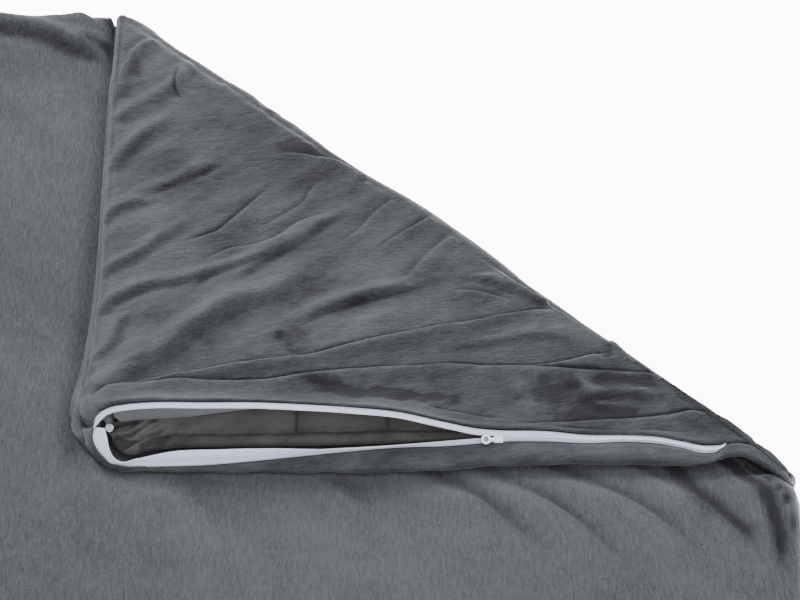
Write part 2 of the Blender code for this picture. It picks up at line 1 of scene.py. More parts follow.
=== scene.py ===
import json
import math
import bpy
import numpy as np
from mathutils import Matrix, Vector


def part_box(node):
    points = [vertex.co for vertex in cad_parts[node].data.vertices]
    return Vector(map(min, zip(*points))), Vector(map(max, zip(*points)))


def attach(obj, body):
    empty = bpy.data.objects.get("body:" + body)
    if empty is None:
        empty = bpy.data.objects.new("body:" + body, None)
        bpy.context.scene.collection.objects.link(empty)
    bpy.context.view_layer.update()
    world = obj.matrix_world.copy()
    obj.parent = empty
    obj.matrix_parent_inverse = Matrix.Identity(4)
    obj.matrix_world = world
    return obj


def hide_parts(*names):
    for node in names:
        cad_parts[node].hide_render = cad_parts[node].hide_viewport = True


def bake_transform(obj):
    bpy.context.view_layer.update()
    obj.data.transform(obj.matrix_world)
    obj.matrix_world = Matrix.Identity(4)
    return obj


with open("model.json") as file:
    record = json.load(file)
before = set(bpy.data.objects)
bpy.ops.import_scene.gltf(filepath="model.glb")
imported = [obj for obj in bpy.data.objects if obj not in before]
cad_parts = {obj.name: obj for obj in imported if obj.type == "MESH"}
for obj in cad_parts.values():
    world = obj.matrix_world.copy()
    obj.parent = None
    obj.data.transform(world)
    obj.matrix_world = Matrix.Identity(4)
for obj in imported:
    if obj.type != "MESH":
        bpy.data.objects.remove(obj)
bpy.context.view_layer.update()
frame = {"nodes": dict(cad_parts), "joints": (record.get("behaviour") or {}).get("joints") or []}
print("frame loaded")

# camera, floor and lights

view = {
    "place": (0.5277, -2.2103, 2.1342),
    "target": (0.5277, 0.160, 0.0),
    "lens": 135.0,
    "floorSize": 14.0,
    "floorColour": (0.93, 0.93, 0.935),
    "floorGlow": 9.0,
}
lamps = [  # name, place, aim, size, watts
    ("backLamp", (-1.6, 2.7, 2.5), (0.45, 0.1, 0), 1.3, 320.0),
    ("topLamp", (0.1, 0.9, 3.6), (0.45, 0.1, 0), 3.2, 80.0),
    ("frontLamp", (1.8, -3.0, 2.2), (0.5, 0.0, 0), 2.6, 115.0),
]
skyStrength = 0.86


def makeCamera():
    data = bpy.data.cameras.new("camera")
    data.lens = view["lens"]
    data.clip_start, data.clip_end = 0.05, 60
    camera = bpy.data.objects.new("camera", data)
    bpy.context.scene.collection.objects.link(camera)
    camera.location = view["place"]
    look = Vector(view["target"]) - Vector(view["place"])
    camera.rotation_euler = look.to_track_quat("-Z", "Y").to_euler()
    bpy.context.scene.camera = camera


def makeLights():
    for name, place, aim, size, watts in lamps:
        data = bpy.data.lights.new(name, "AREA")
        data.shape, data.size, data.energy = "DISK", size, watts
        lamp = bpy.data.objects.new(name, data)
        bpy.context.scene.collection.objects.link(lamp)
        lamp.location = place
        lamp.rotation_euler = (Vector(aim) - Vector(place)).to_track_quat("-Z", "Y").to_euler()
    world = bpy.data.worlds.new("room")
    world.use_nodes = True
    world.node_tree.nodes["Background"].inputs["Color"].default_value = (1, 1, 1, 1)
    world.node_tree.nodes["Background"].inputs["Strength"].default_value = skyStrength
    bpy.context.scene.world = world


def makeFloor():
    half = view["floorSize"] / 2
    mesh = bpy.data.meshes.new("floor")
    corners = [(-half, -half, 0), (half, -half, 0), (half, half, 0), (-half, half, 0)]
    mesh.from_pydata(corners, [], [(0, 1, 2, 3)])
    floor = bpy.data.objects.new("floor", mesh)
    bpy.context.scene.collection.objects.link(floor)
    floor.location.z = -0.0004
    paint = bpy.data.materials.new("floorPaint")
    paint.use_nodes = True
    shader = paint.node_tree.nodes["Principled BSDF"]
    shader.inputs["Base Color"].default_value = (*view["floorColour"], 1)
    shader.inputs["Roughness"].default_value = 0.9
    shader.inputs["Specular IOR Level"].default_value = 0.1
    shader.inputs["Emission Color"].default_value = (1, 1, 1, 1)
    shader.inputs["Emission Strength"].default_value = view["floorGlow"]
    mesh.materials.append(paint)


makeCamera()
makeLights()
makeFloor()
print("camera, lights and floor made")

# numbers taken from the frame

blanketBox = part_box("cover_bottom_panel")
hinge = next(joint for joint in frame["joints"] if joint["name"] == "corner_fold")
halfLong = blanketBox[1][0]
halfWide = blanketBox[1][1]
foldA = np.array(hinge["pos_m"][:2])
foldDir = -np.array(hinge["axis"][:2])
foldOut = np.array([-foldDir[1], foldDir[0]])
foldB = foldA + foldDir * (halfLong - foldA[0]) / foldDir[0]
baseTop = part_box("cover_top_panel")[1][2]

# numpy tools


def smoothPath(points, count):
    # a curve through the points: cubic pieces whose slopes are those of the neighbouring points
    p = np.array(points, float)
    s = np.r_[0, np.cumsum(np.linalg.norm(np.diff(p, axis=0), axis=1))]
    slope = np.gradient(p, s, axis=0)
    t = np.linspace(0, s[-1], count) if np.isscalar(count) else np.asarray(count) * s[-1]
    i = np.clip(np.searchsorted(s, t, "right") - 1, 0, len(s) - 2)
    h = (s[i + 1] - s[i])[:, None]
    u = ((t - s[i]) / (s[i + 1] - s[i]))[:, None]
    a, b = 2 * u**3 - 3 * u**2 + 1, u**3 - 2 * u**2 + u
    return a * p[i] + b * h * slope[i] + (1 - a) * p[i + 1] + (u**3 - u**2) * h * slope[i + 1]


def softNoise(x, y, size, seed):
    # random heights on a square net, joined by smooth steps
    table = np.random.default_rng(seed).uniform(-1, 1, (128, 128))
    a, b = x / size + 57.3, y / size + 31.7
    i, j = np.floor(a).astype(int), np.floor(b).astype(int)
    u, v = a - i, b - j
    u, v = u * u * (3 - 2 * u), v * v * (3 - 2 * v)
    i, j, i1, j1 = i % 128, j % 128, (i + 1) % 128, (j + 1) % 128
    low = table[i, j] * (1 - u) + table[i1, j] * u
    return low * (1 - v) + (table[i, j1] * (1 - u) + table[i1, j1] * u) * v


def layeredNoise(x, y, size, seed, layers=3):
    return sum(softNoise(x, y, size / 2**k, seed + k) / 2**k for k in range(layers))


def metres(points):
    return np.array(points, float) / 1000


def turned(x, y, degrees):
    c, s = math.cos(math.radians(degrees)), math.sin(math.radians(degrees))
    return x * c + y * s, y * c - x * s


def smoothStep(t):
    t = np.clip(t, 0, 1)
    return t * t * (3 - 2 * t)


def bell(t):
    return np.exp(-(t**2))


def roundUp(t):
    # a quarter circle, from 0 at t = 0 to 1 at t = 1
    return np.sqrt(1 - (1 - np.clip(t, 0, 1)) ** 2)


def distanceTo(x, y, places):
    return np.hypot(x - places[..., 0], y - places[..., 1])


def fromPath(x, y, path):
    # signed distance to a line of points, left of it positive, and how far along it the nearest point is
    best = np.full(x.shape, 1e9)
    signed, along = np.zeros(x.shape), np.zeros(x.shape)
    steps = np.linalg.norm(np.diff(path, axis=0), axis=1)
    starts = np.r_[0, np.cumsum(steps)]
    for k in range(len(steps)):
        ax, ay = path[k]
        dx, dy = (path[k + 1] - path[k]) / steps[k]
        t = np.clip((x - ax) * dx + (y - ay) * dy, 0, steps[k])
        ex, ey = x - ax - t * dx, y - ay - t * dy
        d = np.hypot(ex, ey)
        near = d < best
        best = np.where(near, d, best)
        signed = np.where(near, np.sign(dx * ey - dy * ex) * d, signed)
        along = np.where(near, (starts[k] + t) / starts[-1], along)
    return signed, along


def fold(line, high, cut, soft, dark, **more):
    # one fold in whole millimetres; its painted shade (dark) and painted highlight (light), fades and the
    # side are plain shares
    lengths = {"high": high, "cut": cut, "soft": soft}
    lengths.update({key: more.pop(key) for key in ("deep", "darkAt", "darkWide") if key in more})
    lengths = {key: value / 1000 for key, value in lengths.items()}
    return {"line": metres(line), "dark": dark, **lengths, **more}


tuckLook = {
    "widestCut": 0.0029,
    "swellUp": 0.0035,
    "swellShare": 1.35,
    "softShare": 1.15,
    "sag": 0.10,
    "sagReach": 0.006,
    "grooveWide": 0.0022,
    "paintedShadeAt": 0.0006,
    "paintedShadeWide": 0.0021,
    "paintedShadeBehind": 0.22,
}


def tuckProfile(side, soft):
    # two round folds of cloth meet in a narrow groove: a crest on one side, a slight sag on the other; the
    # groove and the sag beside it get painted shade
    look = tuckLook
    swell = np.maximum(side, 0)
    crest = look["swellShare"] * (1 - np.exp(-swell / look["swellUp"]))
    crest = crest * bell(swell / (look["softShare"] * soft))
    crest = np.where(side < 0, -look["sag"] * np.exp(side / look["sagReach"]), crest - look["sag"])
    behind = look["paintedShadeBehind"] * np.exp(np.minimum(side, 0) / look["sagReach"]) * (side < 0)
    return crest, bell(side / look["grooveWide"]), bell((side + look["paintedShadeAt"]) / look["paintedShadeWide"]) + behind


def crestProfile(side, soft, cut, darkAt, darkWide):
    # a bell that is wide on the soft side and narrow on the cut side, with a groove at its steep foot and a
    # band of painted shade beside it
    crest = np.exp(-((np.maximum(side, 0) / soft) ** 2) - (np.minimum(side, 0) / (1.4 * cut)) ** 2)
    return crest, bell((side + 2.2 * cut) / (1.5 * cut)), bell((side + darkAt) / darkWide)


def foldRelief(x, y, folds):
    # the sum of the folds' profiles across their lines, each fading in and out along its line; the shade
    # summed with them is painted shade in the grooves and painted highlight on the crests
    height, shade = np.zeros(x.shape), np.zeros(x.shape)
    for one in folds:
        d, t = fromPath(x, y, smoothPath(one["line"], 28))
        side, soft, cut = one.get("side", -1) * d, one["soft"], one["cut"]
        fadeIn, fadeOut = one.get("fade", (0.25, 0.3))
        life = smoothStep(t / fadeIn) * smoothStep((1 - t) / fadeOut) * (1 + 0.3 * softNoise(x, y, 0.035, 5))
        if cut < tuckLook["widestCut"]:
            crest, groove, paintedShade = tuckProfile(side, soft)
        else:
            darkAt, darkWide = one.get("darkAt", 2.0 * cut), one.get("darkWide", 1.7 * cut)
            crest, groove, paintedShade = crestProfile(side, soft, cut, darkAt, darkWide)
        height += life * (one["high"] * crest - one.get("deep", 0.5 * one["high"]) * groove)
        # painted highlight on the crest, painted shade in the groove
        shade += life * (one.get("light", 0.15) * crest - one["dark"] * paintedShade)
    return height, shade


def makePiece(name, points, quads, body, paint, replaced=(), attributes=None):
    mesh = bpy.data.meshes.new(name)
    mesh.vertices.add(len(points))
    mesh.vertices.foreach_set("co", np.ascontiguousarray(points, np.float32).ravel())
    mesh.loops.add(quads.size)
    mesh.loops.foreach_set("vertex_index", np.ascontiguousarray(quads, np.int32).ravel())
    mesh.polygons.add(len(quads))
    mesh.polygons.foreach_set("loop_start", np.arange(0, quads.size, 4, dtype=np.int32))
    mesh.update(calc_edges=True)
    mesh.validate()
    mesh.shade_smooth()
    for key, values in (attributes or {}).items():
        layer = mesh.attributes.new(key, "FLOAT", "POINT")
        layer.data.foreach_set("value", np.ascontiguousarray(values, np.float32).ravel())
    piece = bpy.data.objects.new(name, mesh)
    bpy.context.scene.collection.objects.link(piece)
    mesh.materials.append(paint)
    if body:
        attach(piece, body)
    if replaced:
        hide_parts(*replaced)
    return piece


def gridQuads(rows, columns, wrap=False):
    # the four corners of every cell of a grid numbered row by row
    i = np.arange(rows - 1)[:, None]
    j = np.arange(columns if wrap else columns - 1)[None, :]
    k = (j + 1) % columns
    quads = np.stack([i * columns + j, i * columns + k, (i + 1) * columns + k, (i + 1) * columns + j], -1)
    return quads.reshape(-1, 4)


def surfaceNormals(p):
    # the cross product of the two directions of the grid
    across = np.gradient(p, axis=1)
    along = np.gradient(p, axis=0)
    n = np.cross(across, along)
    length = np.linalg.norm(n, axis=-1, keepdims=True)
    return n / np.maximum(length, 1e-12)


def closedCloth(p, thickness):
    # a wall under the grid: the same grid moved back along its normals, and strips round the border
    rows, columns = p.shape[:2]
    back = p - surfaceNormals(p) * thickness
    count = rows * columns
    face = gridQuads(rows, columns)
    rim = np.r_[
        np.arange(columns),
        np.arange(2, rows + 1) * columns - 1,
        (rows - 1) * columns + np.arange(columns - 2, -1, -1),
        np.arange(rows - 2, 0, -1) * columns,
    ]
    after = np.roll(rim, -1)
    strip = np.stack([after, rim, rim + count, after + count], -1)
    quads = np.concatenate([face, face[:, ::-1] + count, strip])
    return np.concatenate([p.reshape(-1, 3), back.reshape(-1, 3)]), quads


def clothPiece(name, p, shade, thickness, body, paint, replaced=()):
    # a closed cloth whose two sides have the same nap and painted shade
    points, quads = closedCloth(p, thickness)
    napAndPaintedShade = np.concatenate([shade.ravel(), shade.ravel()])
    return makePiece(name, points, quads, body, paint, replaced, {"napAndPaintedShade": napAndPaintedShade})


def tubeAlong(path, radius, sides=8, up=(0, 0, 1)):
    # rings round the path, square to it, with a point at each end
    path = np.asarray(path, float)
    radius = np.broadcast_to(radius, len(path)).astype(float)
    ahead = np.gradient(path, axis=0)
    ahead /= np.linalg.norm(ahead, axis=1, keepdims=True)
    side = np.cross(ahead, np.array(up, float))
    side /= np.linalg.norm(side, axis=1, keepdims=True)
    top = np.cross(side, ahead)
    angle = np.linspace(0, 2 * math.pi, sides, endpoint=False)
    cosine, sine = np.cos(angle)[None, :, None], np.sin(angle)[None, :, None]
    ring = cosine * side[:, None, :] + sine * top[:, None, :]
    rings = path[:, None, :] + ring * radius[:, None, None]
    p = np.concatenate([np.repeat(path[:1], sides, 0)[None], rings, np.repeat(path[-1:], sides, 0)[None]])
    return p.reshape(-1, 3), gridQuads(len(p), sides, wrap=True)


# materials


def newPaint(name, colour, roughness):
    paint = bpy.data.materials.new(name)
    paint.use_nodes = True
    shader = paint.node_tree.nodes["Principled BSDF"]
    shader.inputs["Base Color"].default_value = (*colour, 1)
    shader.inputs["Roughness"].default_value = roughness
    return paint, paint.node_tree.nodes, paint.node_tree.links, shader


def addNode(nodes, kind, **values):
    node = nodes.new(kind)
    for key, value in values.items():
        if hasattr(node, key):
            setattr(node, key, value)
        else:
            node.inputs[key.replace("_", " ")].default_value = value
    return node


def attributeOf(nodes, name):
    return addNode(nodes, "ShaderNodeAttribute", attribute_name=name).outputs["Fac"]


def textureAt(nodes, links, place, kind, **values):
    # a noise or wave read at this place
    node = addNode(nodes, kind, **values)
    links.new(place, node.inputs["Vector"])
    return node.outputs["Fac"]


def mathOf(nodes, links, operation, socket, *numbers):
    step = addNode(nodes, "ShaderNodeMath", operation=operation)
    links.new(socket, step.inputs[0])
    for k, number in enumerate(numbers):
        step.inputs[k + 1].default_value = number
    return step.outputs[0]


def sumOf(nodes, links, terms, start=0.0):
    # start plus each socket times its share
    total = None
    for socket, share in terms:
        step = addNode(nodes, "ShaderNodeMath", operation="MULTIPLY_ADD")
        step.inputs[1].default_value = share
        links.new(socket, step.inputs[0])
        if total is None:
            step.inputs[2].default_value = start
        else:
            links.new(total, step.inputs[2])
        total = step.outputs[0]
    return total


def toneRamp(nodes, links, shader, tone, stops):
    # the tone picks the colour between stops; the ramp's own two come first
    ramp = addNode(nodes, "ShaderNodeValToRGB")
    own = ramp.color_ramp.elements
    for k, (position, colour) in enumerate(stops):
        stop = own[k] if k < 2 else own.new(position)
        stop.position, stop.color = position, (*colour, 1)
    links.new(tone, ramp.inputs["Fac"])
    links.new(ramp.outputs["Color"], shader.inputs["Base Color"])


def liftBy(nodes, links, shader, height, strength, distance):
    bump = addNode(nodes, "ShaderNodeBump", Strength=strength, Distance=distance)
    links.new(height, bump.inputs["Height"])
    links.new(bump.outputs["Normal"], shader.inputs["Normal"])


def shadeOf(colour, share):
    return tuple(min(1, c * share) for c in colour)


plushLook = {
    "dark": (0.0090, 0.0094, 0.0112),
    "middle": (0.0375, 0.0400, 0.0440),
    "light": (0.0720, 0.0760, 0.0820),
    "roughness": 0.88,
    "sheen": 0.17,
    "sheenRoughness": 0.38,
    "sheenTint": (0.88, 0.92, 0.98, 1),
    "shine": 0.18,
    "patch": 9.0,
    "streakLong": 75.0,
    "streakShort": 380.0,
    "pile": 640.0,
    "toneShares": (0.55, 0.18, 0.80, 0.85),
    "toneStart": -0.915,
    "liftShares": (0.7, 0.5, 0.6),
    "bump": (0.7, 0.0020),
}


def plushPaint(name, mainTone=0.5, napTurn=0.35):
    # brushed pile: patches of tone, short slanting streaks and a fine nap that also lift the surface; a point
    # attribute adds tone together with painted shade and painted highlights
    look = plushLook
    paint, nodes, links, shader = newPaint(name, look["middle"], look["roughness"])
    shader.inputs["Sheen Weight"].default_value = look["sheen"]
    shader.inputs["Sheen Roughness"].default_value = look["sheenRoughness"]
    shader.inputs["Sheen Tint"].default_value = look["sheenTint"]
    shader.inputs["Specular IOR Level"].default_value = look["shine"]
    place = addNode(nodes, "ShaderNodeTexCoord").outputs["Object"]
    turn = addNode(nodes, "ShaderNodeMapping", vector_type="TEXTURE")
    turn.inputs["Rotation"].default_value = (0, 0, napTurn)
    thin, long = 1 / look["streakShort"], 1 / look["streakLong"]
    turn.inputs["Scale"].default_value = (thin, long, thin)
    links.new(place, turn.inputs["Vector"])
    noise = "ShaderNodeTexNoise"
    patch = textureAt(nodes, links, place, noise, Scale=look["patch"], Detail=4.0, Roughness=0.62)
    streak = textureAt(nodes, links, turn.outputs["Vector"], noise, Scale=1.0, Detail=3.0, Roughness=0.6)
    pile = textureAt(nodes, links, place, noise, Scale=look["pile"], Detail=2.0, Roughness=0.7)
    # the point attribute brings the piece's painted shade and painted highlights into the tone
    sockets = (attributeOf(nodes, "napAndPaintedShade"), patch, streak, pile)
    tone = sumOf(nodes, links, list(zip(sockets, look["toneShares"])), mainTone + look["toneStart"])
    stops = [(0.0, look["dark"]), (1.0, look["light"]), (0.5, look["middle"])]
    toneRamp(nodes, links, shader, tone, stops)
    relief = sumOf(nodes, links, list(zip((streak, pile, patch), look["liftShares"])))
    liftBy(nodes, links, shader, relief, *look["bump"])
    return paint


def wovenPaint(name, colour, contrast, threads, roughness=0.85):
    # plain weave: two sets of fine waves at right angles and a slub noise, with tone and painted shade from a
    # point attribute
    paint, nodes, links, shader = newPaint(name, colour, roughness)
    shader.inputs["Sheen Weight"].default_value = 0.1
    shader.inputs["Specular IOR Level"].default_value = 0.25
    place = addNode(nodes, "ShaderNodeTexCoord").outputs["Object"]
    wave = "ShaderNodeTexWave"
    warp = textureAt(nodes, links, place, wave, bands_direction="X", Scale=threads, Distortion=0.6)
    weft = textureAt(nodes, links, place, wave, bands_direction="Y", Scale=threads, Distortion=0.6)
    slub = textureAt(nodes, links, place, "ShaderNodeTexNoise", Scale=38.0, Detail=5.0, Roughness=0.65)
    weave = sumOf(nodes, links, [(warp, 0.3), (weft, 0.3), (slub, 0.8)])
    weave = sumOf(nodes, links, [(attributeOf(nodes, "napAndPaintedShade"), 1.0), (weave, 1.0)])
    low, high, deep = shadeOf(colour, 1 - contrast), shadeOf(colour, 1 + contrast), shadeOf(colour, 0.25)
    toneRamp(nodes, links, shader, weave, [(0.35, low), (1.0, high), (0.0, deep)])
    liftBy(nodes, links, shader, weave, 0.5, 0.0003)
    return paint


def tapePaint(name, colour, ribPitch=1.9):
    # lengthwise ribs read from how many millimetres across the tape a point is, with a fine cross weave
    paint, nodes, links, shader = newPaint(name, colour, 0.62)
    place = addNode(nodes, "ShaderNodeTexCoord").outputs["Object"]
    wave = "ShaderNodeTexWave"
    weave = textureAt(nodes, links, place, wave, bands_direction="X", Scale=620.0, Distortion=0.4)
    rib = mathOf(nodes, links, "MULTIPLY", attributeOf(nodes, "across"), 2 * math.pi / ribPitch)
    rib = mathOf(nodes, links, "COSINE", rib)
    rib = mathOf(nodes, links, "MULTIPLY_ADD", rib, 0.5, 0.5)
    groove = mathOf(nodes, links, "POWER", rib, 6.0)
    tone = sumOf(nodes, links, [(groove, -0.55), (weave, 0.12)], 0.85)
    toneRamp(nodes, links, shader, tone, [(0.1, shadeOf(colour, 0.62)), (0.9, shadeOf(colour, 1.08))])
    liftBy(nodes, links, shader, tone, 0.5, 0.0003)
    return paint


def smoothPaint(name, colour, roughness, blotch=0.12):
    # moulded or enamelled: a slight mottle in tone and a faint orange-peel relief
    paint, nodes, links, shader = newPaint(name, colour, roughness)
    place = addNode(nodes, "ShaderNodeTexCoord").outputs["Object"]
    cloud = textureAt(nodes, links, place, "ShaderNodeTexNoise", Scale=240.0, Detail=4.0)
    stops = [(0.3, shadeOf(colour, 1 - blotch)), (0.7, shadeOf(colour, 1 + blotch / 2))]
    toneRamp(nodes, links, shader, cloud, stops)
    liftBy(nodes, links, shader, cloud, 0.15, 0.0002)
    return paint


paints = {
    "plushBase": plushPaint("plushBase", mainTone=0.54, napTurn=0.05),
    "plushFlap": plushPaint("plushFlap", mainTone=0.48, napTurn=1.72),
    "insertCloth": wovenPaint("insertCloth", (0.069, 0.067, 0.067), 0.28, 900.0),
    "liningCloth": wovenPaint("liningCloth", (0.098, 0.103, 0.112), 0.12, 1100.0),
    "zipTape": tapePaint("zipTape", (0.57, 0.605, 0.775)),
    "zipCoil": smoothPaint("zipCoil", (0.66, 0.68, 0.74), 0.35),
    "sliderWhite": smoothPaint("sliderWhite", (0.78, 0.80, 0.83), 0.28, 0.06),
    "buttonShell": smoothPaint("buttonShell", (0.50, 0.54, 0.60), 0.16, 0.55),
    "paddingWool": wovenPaint("paddingWool", (0.74, 0.74, 0.72), 0.15, 420.0, roughness=1.0),
    "beadFill": smoothPaint("beadFill", (0.58, 0.62, 0.65), 0.3, 0.35),
}
print("materials made")

# the turned corner's plush, with its folds

# each fold's dark is painted shade in its groove, its light a painted highlight on its crest
flapFolds = [
    fold([(212, -40), (236, -18), (259, 5), (290, 39), (322, 73), (356, 104), (397, 121), (423, 149),
         (462, 180)], high=11, cut=9.5, soft=19, deep=3, dark=0.22, darkAt=20, darkWide=13, light=0.3,
         side=1, fade=(0.04, 0.3)),
    fold([(219, -56), (232, -40), (251, -26), (286, -15), (325, -4), (355, 4), (401, 14), (446, 23),
         (469, 33), (507, 46), (548, 59), (589, 68), (631, 81), (662, 89), (690, 94)], high=9.2, cut=1.7,
         soft=13, deep=4, dark=1.6, light=0.25, fade=(0.03, 0.05)),
    fold([(224, -58), (240, -44), (262, -35), (291, -27), (326, -22), (366, -18), (402, -14), (427, -7),
         (462, 0), (512, 4), (589, 7), (629, 5), (675, 7), (711, 16), (745, 30)], high=7.8, cut=1.6,
         soft=15, deep=4, dark=1.6, light=0.22, fade=(0.03, 0.06)),
    fold([(640, 0), (675, -1), (705, -2), (745, -2), (790, -4)], high=4, cut=1.5, soft=10, dark=1.2,
         fade=(0.3, 0.06)),
    fold([(345, 130), (360, 145), (390, 177), (421, 202), (442, 225), (480, 255)], high=4.6, cut=3.5,
         soft=14, dark=0.4, darkAt=8, darkWide=8, side=1, fade=(0.2, 0.35)),
    fold([(285, 190), (307, 203), (331, 213), (351, 240), (376, 275), (395, 296)], high=4.6, cut=2.2,
         soft=13, dark=1, light=0.12, fade=(0.3, 0.3)),
    fold([(370, 215), (400, 240), (422, 262), (432, 290), (450, 310)], high=3.8, cut=2.2, soft=11,
         dark=0.58),
    fold([(310, 160), (345, 186), (385, 196), (420, 232), (460, 246)], high=4.6, cut=2.8, soft=12,
         dark=0.58, light=0.2),
    fold([(300, 120), (330, 150), (362, 166), (400, 186)], high=3.4, cut=3.5, soft=10, dark=0.36, side=1),
    fold([(380, 340), (401, 345), (429, 343), (470, 330), (497, 308)], high=5.8, cut=2.6, soft=16, dark=1.2,
         light=0.15, fade=(0.4, 0.05)),
    fold([(208, 440), (212, 480), (219, 510), (230, 537), (256, 556)], high=5.2, cut=4, soft=12, dark=0.4,
         darkAt=-10, darkWide=8, light=0.1, side=-1, fade=(0.1, 0.2)),
    fold([(208, 402), (232, 430), (262, 455), (285, 500), (300, 530)], high=5, cut=6, soft=12, dark=0.25,
         darkAt=15, darkWide=10, light=0.2, side=1, fade=(0.05, 0.3)),
    fold([(278, 500), (274, 478), (276, 456), (286, 436)], high=4, cut=2.8, soft=10, dark=1, side=1),
    fold([(205, 318), (222, 345), (240, 375), (262, 403), (280, 430)], high=5.8, cut=6.5, soft=12,
         dark=0.32, darkAt=14, darkWide=10, light=0.25, side=1, fade=(0.05, 0.35)),
    fold([(244, 278), (274, 290), (309, 312), (336, 333)], high=3.4, cut=3, soft=14, dark=0.4, darkWide=6,
         side=1),
    fold([(206, 232), (222, 250), (240, 262), (262, 270)], high=4, cut=4, soft=10, dark=0.36, darkWide=8,
         side=1, fade=(0.05, 0.4)),
    fold([(209, 150), (240, 170), (272, 206), (300, 232), (318, 250)], high=4.4, cut=5, soft=12, dark=0.22,
         darkAt=12, darkWide=8, light=0.18, side=1, fade=(0.05, 0.35)),
    fold([(212, 82), (236, 110), (262, 128), (300, 136), (340, 162)], high=4, cut=4, soft=12, dark=0.29,
         darkWide=7, side=1, fade=(0.05, 0.3)),
    fold([(214, 16), (232, 40), (238, 66), (256, 92)], high=3.6, cut=3.5, soft=9, dark=0.32, side=1,
         fade=(0.1, 0.4)),
    fold([(534, 130), (546, 152), (560, 176), (584, 206)], high=4.4, cut=3, soft=12, dark=0.5,
         fade=(0.25, 0.05)),
    fold([(500, 182), (522, 206), (545, 226), (560, 240)], high=4, cut=2.8, soft=11, dark=0.58,
         fade=(0.25, 0.08)),
    fold([(455, 190), (480, 214), (500, 246), (520, 270)], high=3.6, cut=2.6, soft=12, dark=0.43,
         fade=(0.3, 0.1)),
    fold([(408, 60), (440, 86), (475, 104), (510, 118), (545, 128), (580, 150)], high=4.8, cut=4, soft=14,
         dark=0.32, darkWide=8, light=0.2, side=1),
    fold([(640, -82), (667, -78), (717, -72), (757, -69), (800, -62), (838, -58)], high=6, cut=2.6, soft=10,
         dark=1.4, light=0.35, fade=(0.2, 0.12)),
    fold([(655, -88), (700, -86), (745, -88), (790, -84), (830, -86)], high=3, cut=2, soft=6, dark=0.58,
         light=0.15),
    fold([(690, -50), (716, -40), (750, -34), (800, -40)], high=4.6, cut=4, soft=10, dark=0.5, darkWide=8,
         side=1),
    fold([(652, -12), (652, -36), (662, -60), (680, -76)], high=4.4, cut=5, soft=10, dark=0.22, darkAt=-14,
         darkWide=12, side=-1),
    fold([(690, -12), (712, -28), (722, -48), (742, -60)], high=4.4, cut=4, soft=8, dark=0.43, darkWide=8,
         side=1),
    fold([(588, 142), (618, 138), (648, 122), (684, 100)], high=4.6, cut=3, soft=10, dark=0.5, side=1,
         fade=(0.3, 0.06)),
    fold([(575, 118), (600, 122), (630, 112), (655, 98)], high=4, cut=2.8, soft=9, dark=0.5),
    fold([(395, 62), (410, 50), (424, 34), (438, 28)], high=3, cut=4, soft=9, dark=0.5, darkWide=7, side=1),
    fold([(735, 50), (748, 34), (748, 18), (736, 4)], high=5, cut=4, soft=10, dark=0.65, darkWide=8, side=1,
         fade=(0.2, 0.2)),
    fold([(560, 30), (610, 40), (660, 52), (700, 50), (732, 40)], high=3.6, cut=4, soft=14, dark=0.25,
         darkWide=10, side=1),
    fold([(790, -26), (804, -46), (824, -66), (850, -84)], high=3.2, cut=4, soft=10, dark=0.55, darkWide=7,
         fade=(0.2, 0.3)),
    fold([(548, -56), (580, -62), (610, -70), (634, -74)], high=2.6, cut=2, soft=8, dark=0.5),
]
flapPatches = [  # middle, half length and half width in millimetres, turn in degrees, darkness
    (345, 58, 36, 14, 40, 0.5), (262, 12, 20, 8, 40, 0.55), (440, 128, 30, 14, 38, 0.45),
    (420, 48, 18, 13, -30, 0.7), (420, 352, 26, 13, -15, 0.6), (275, 318, 22, 14, 10, 0.3),
    (224, 505, 10, 26, 20, 0.4), (256, 420, 26, 10, 50, 0.35), (610, 110, 34, 12, 18, 0.3),
    (560, 150, 26, 12, 38, 0.4), (655, 128, 28, 10, -35, 0.55), (700, 30, 34, 14, 10, 0.45),
    (680, -30, 30, 20, 40, 0.8), (750, -18, 36, 12, 0, 0.8), (508, -36, 66, 9, -6, 1.7),
    (455, -22, 30, 9, -14, 0.95), (275, 76, 22, 12, 25, 0.35), (722, -62, 44, 9, 4, 1.2),
    (800, -45, 30, 10, -40, 0.35), (830, -75, 30, 14, -30, 0.4), (475, 98, 20, 16, 30, 0.25),
]


def patchShade(x, y, patches):
    # ovals of brushed-down pile with soft edges torn by noise
    shade = np.zeros(x.shape)
    torn = 0.34 * layeredNoise(x, y, 0.009, 71)
    for midX, midY, long, short, turn, dark in patches:
        a, b = turned(1000 * x - midX, 1000 * y - midY, turn)
        shade -= dark * smoothStep(1.35 - np.hypot(a / long, b / short) + torn)
    return shade


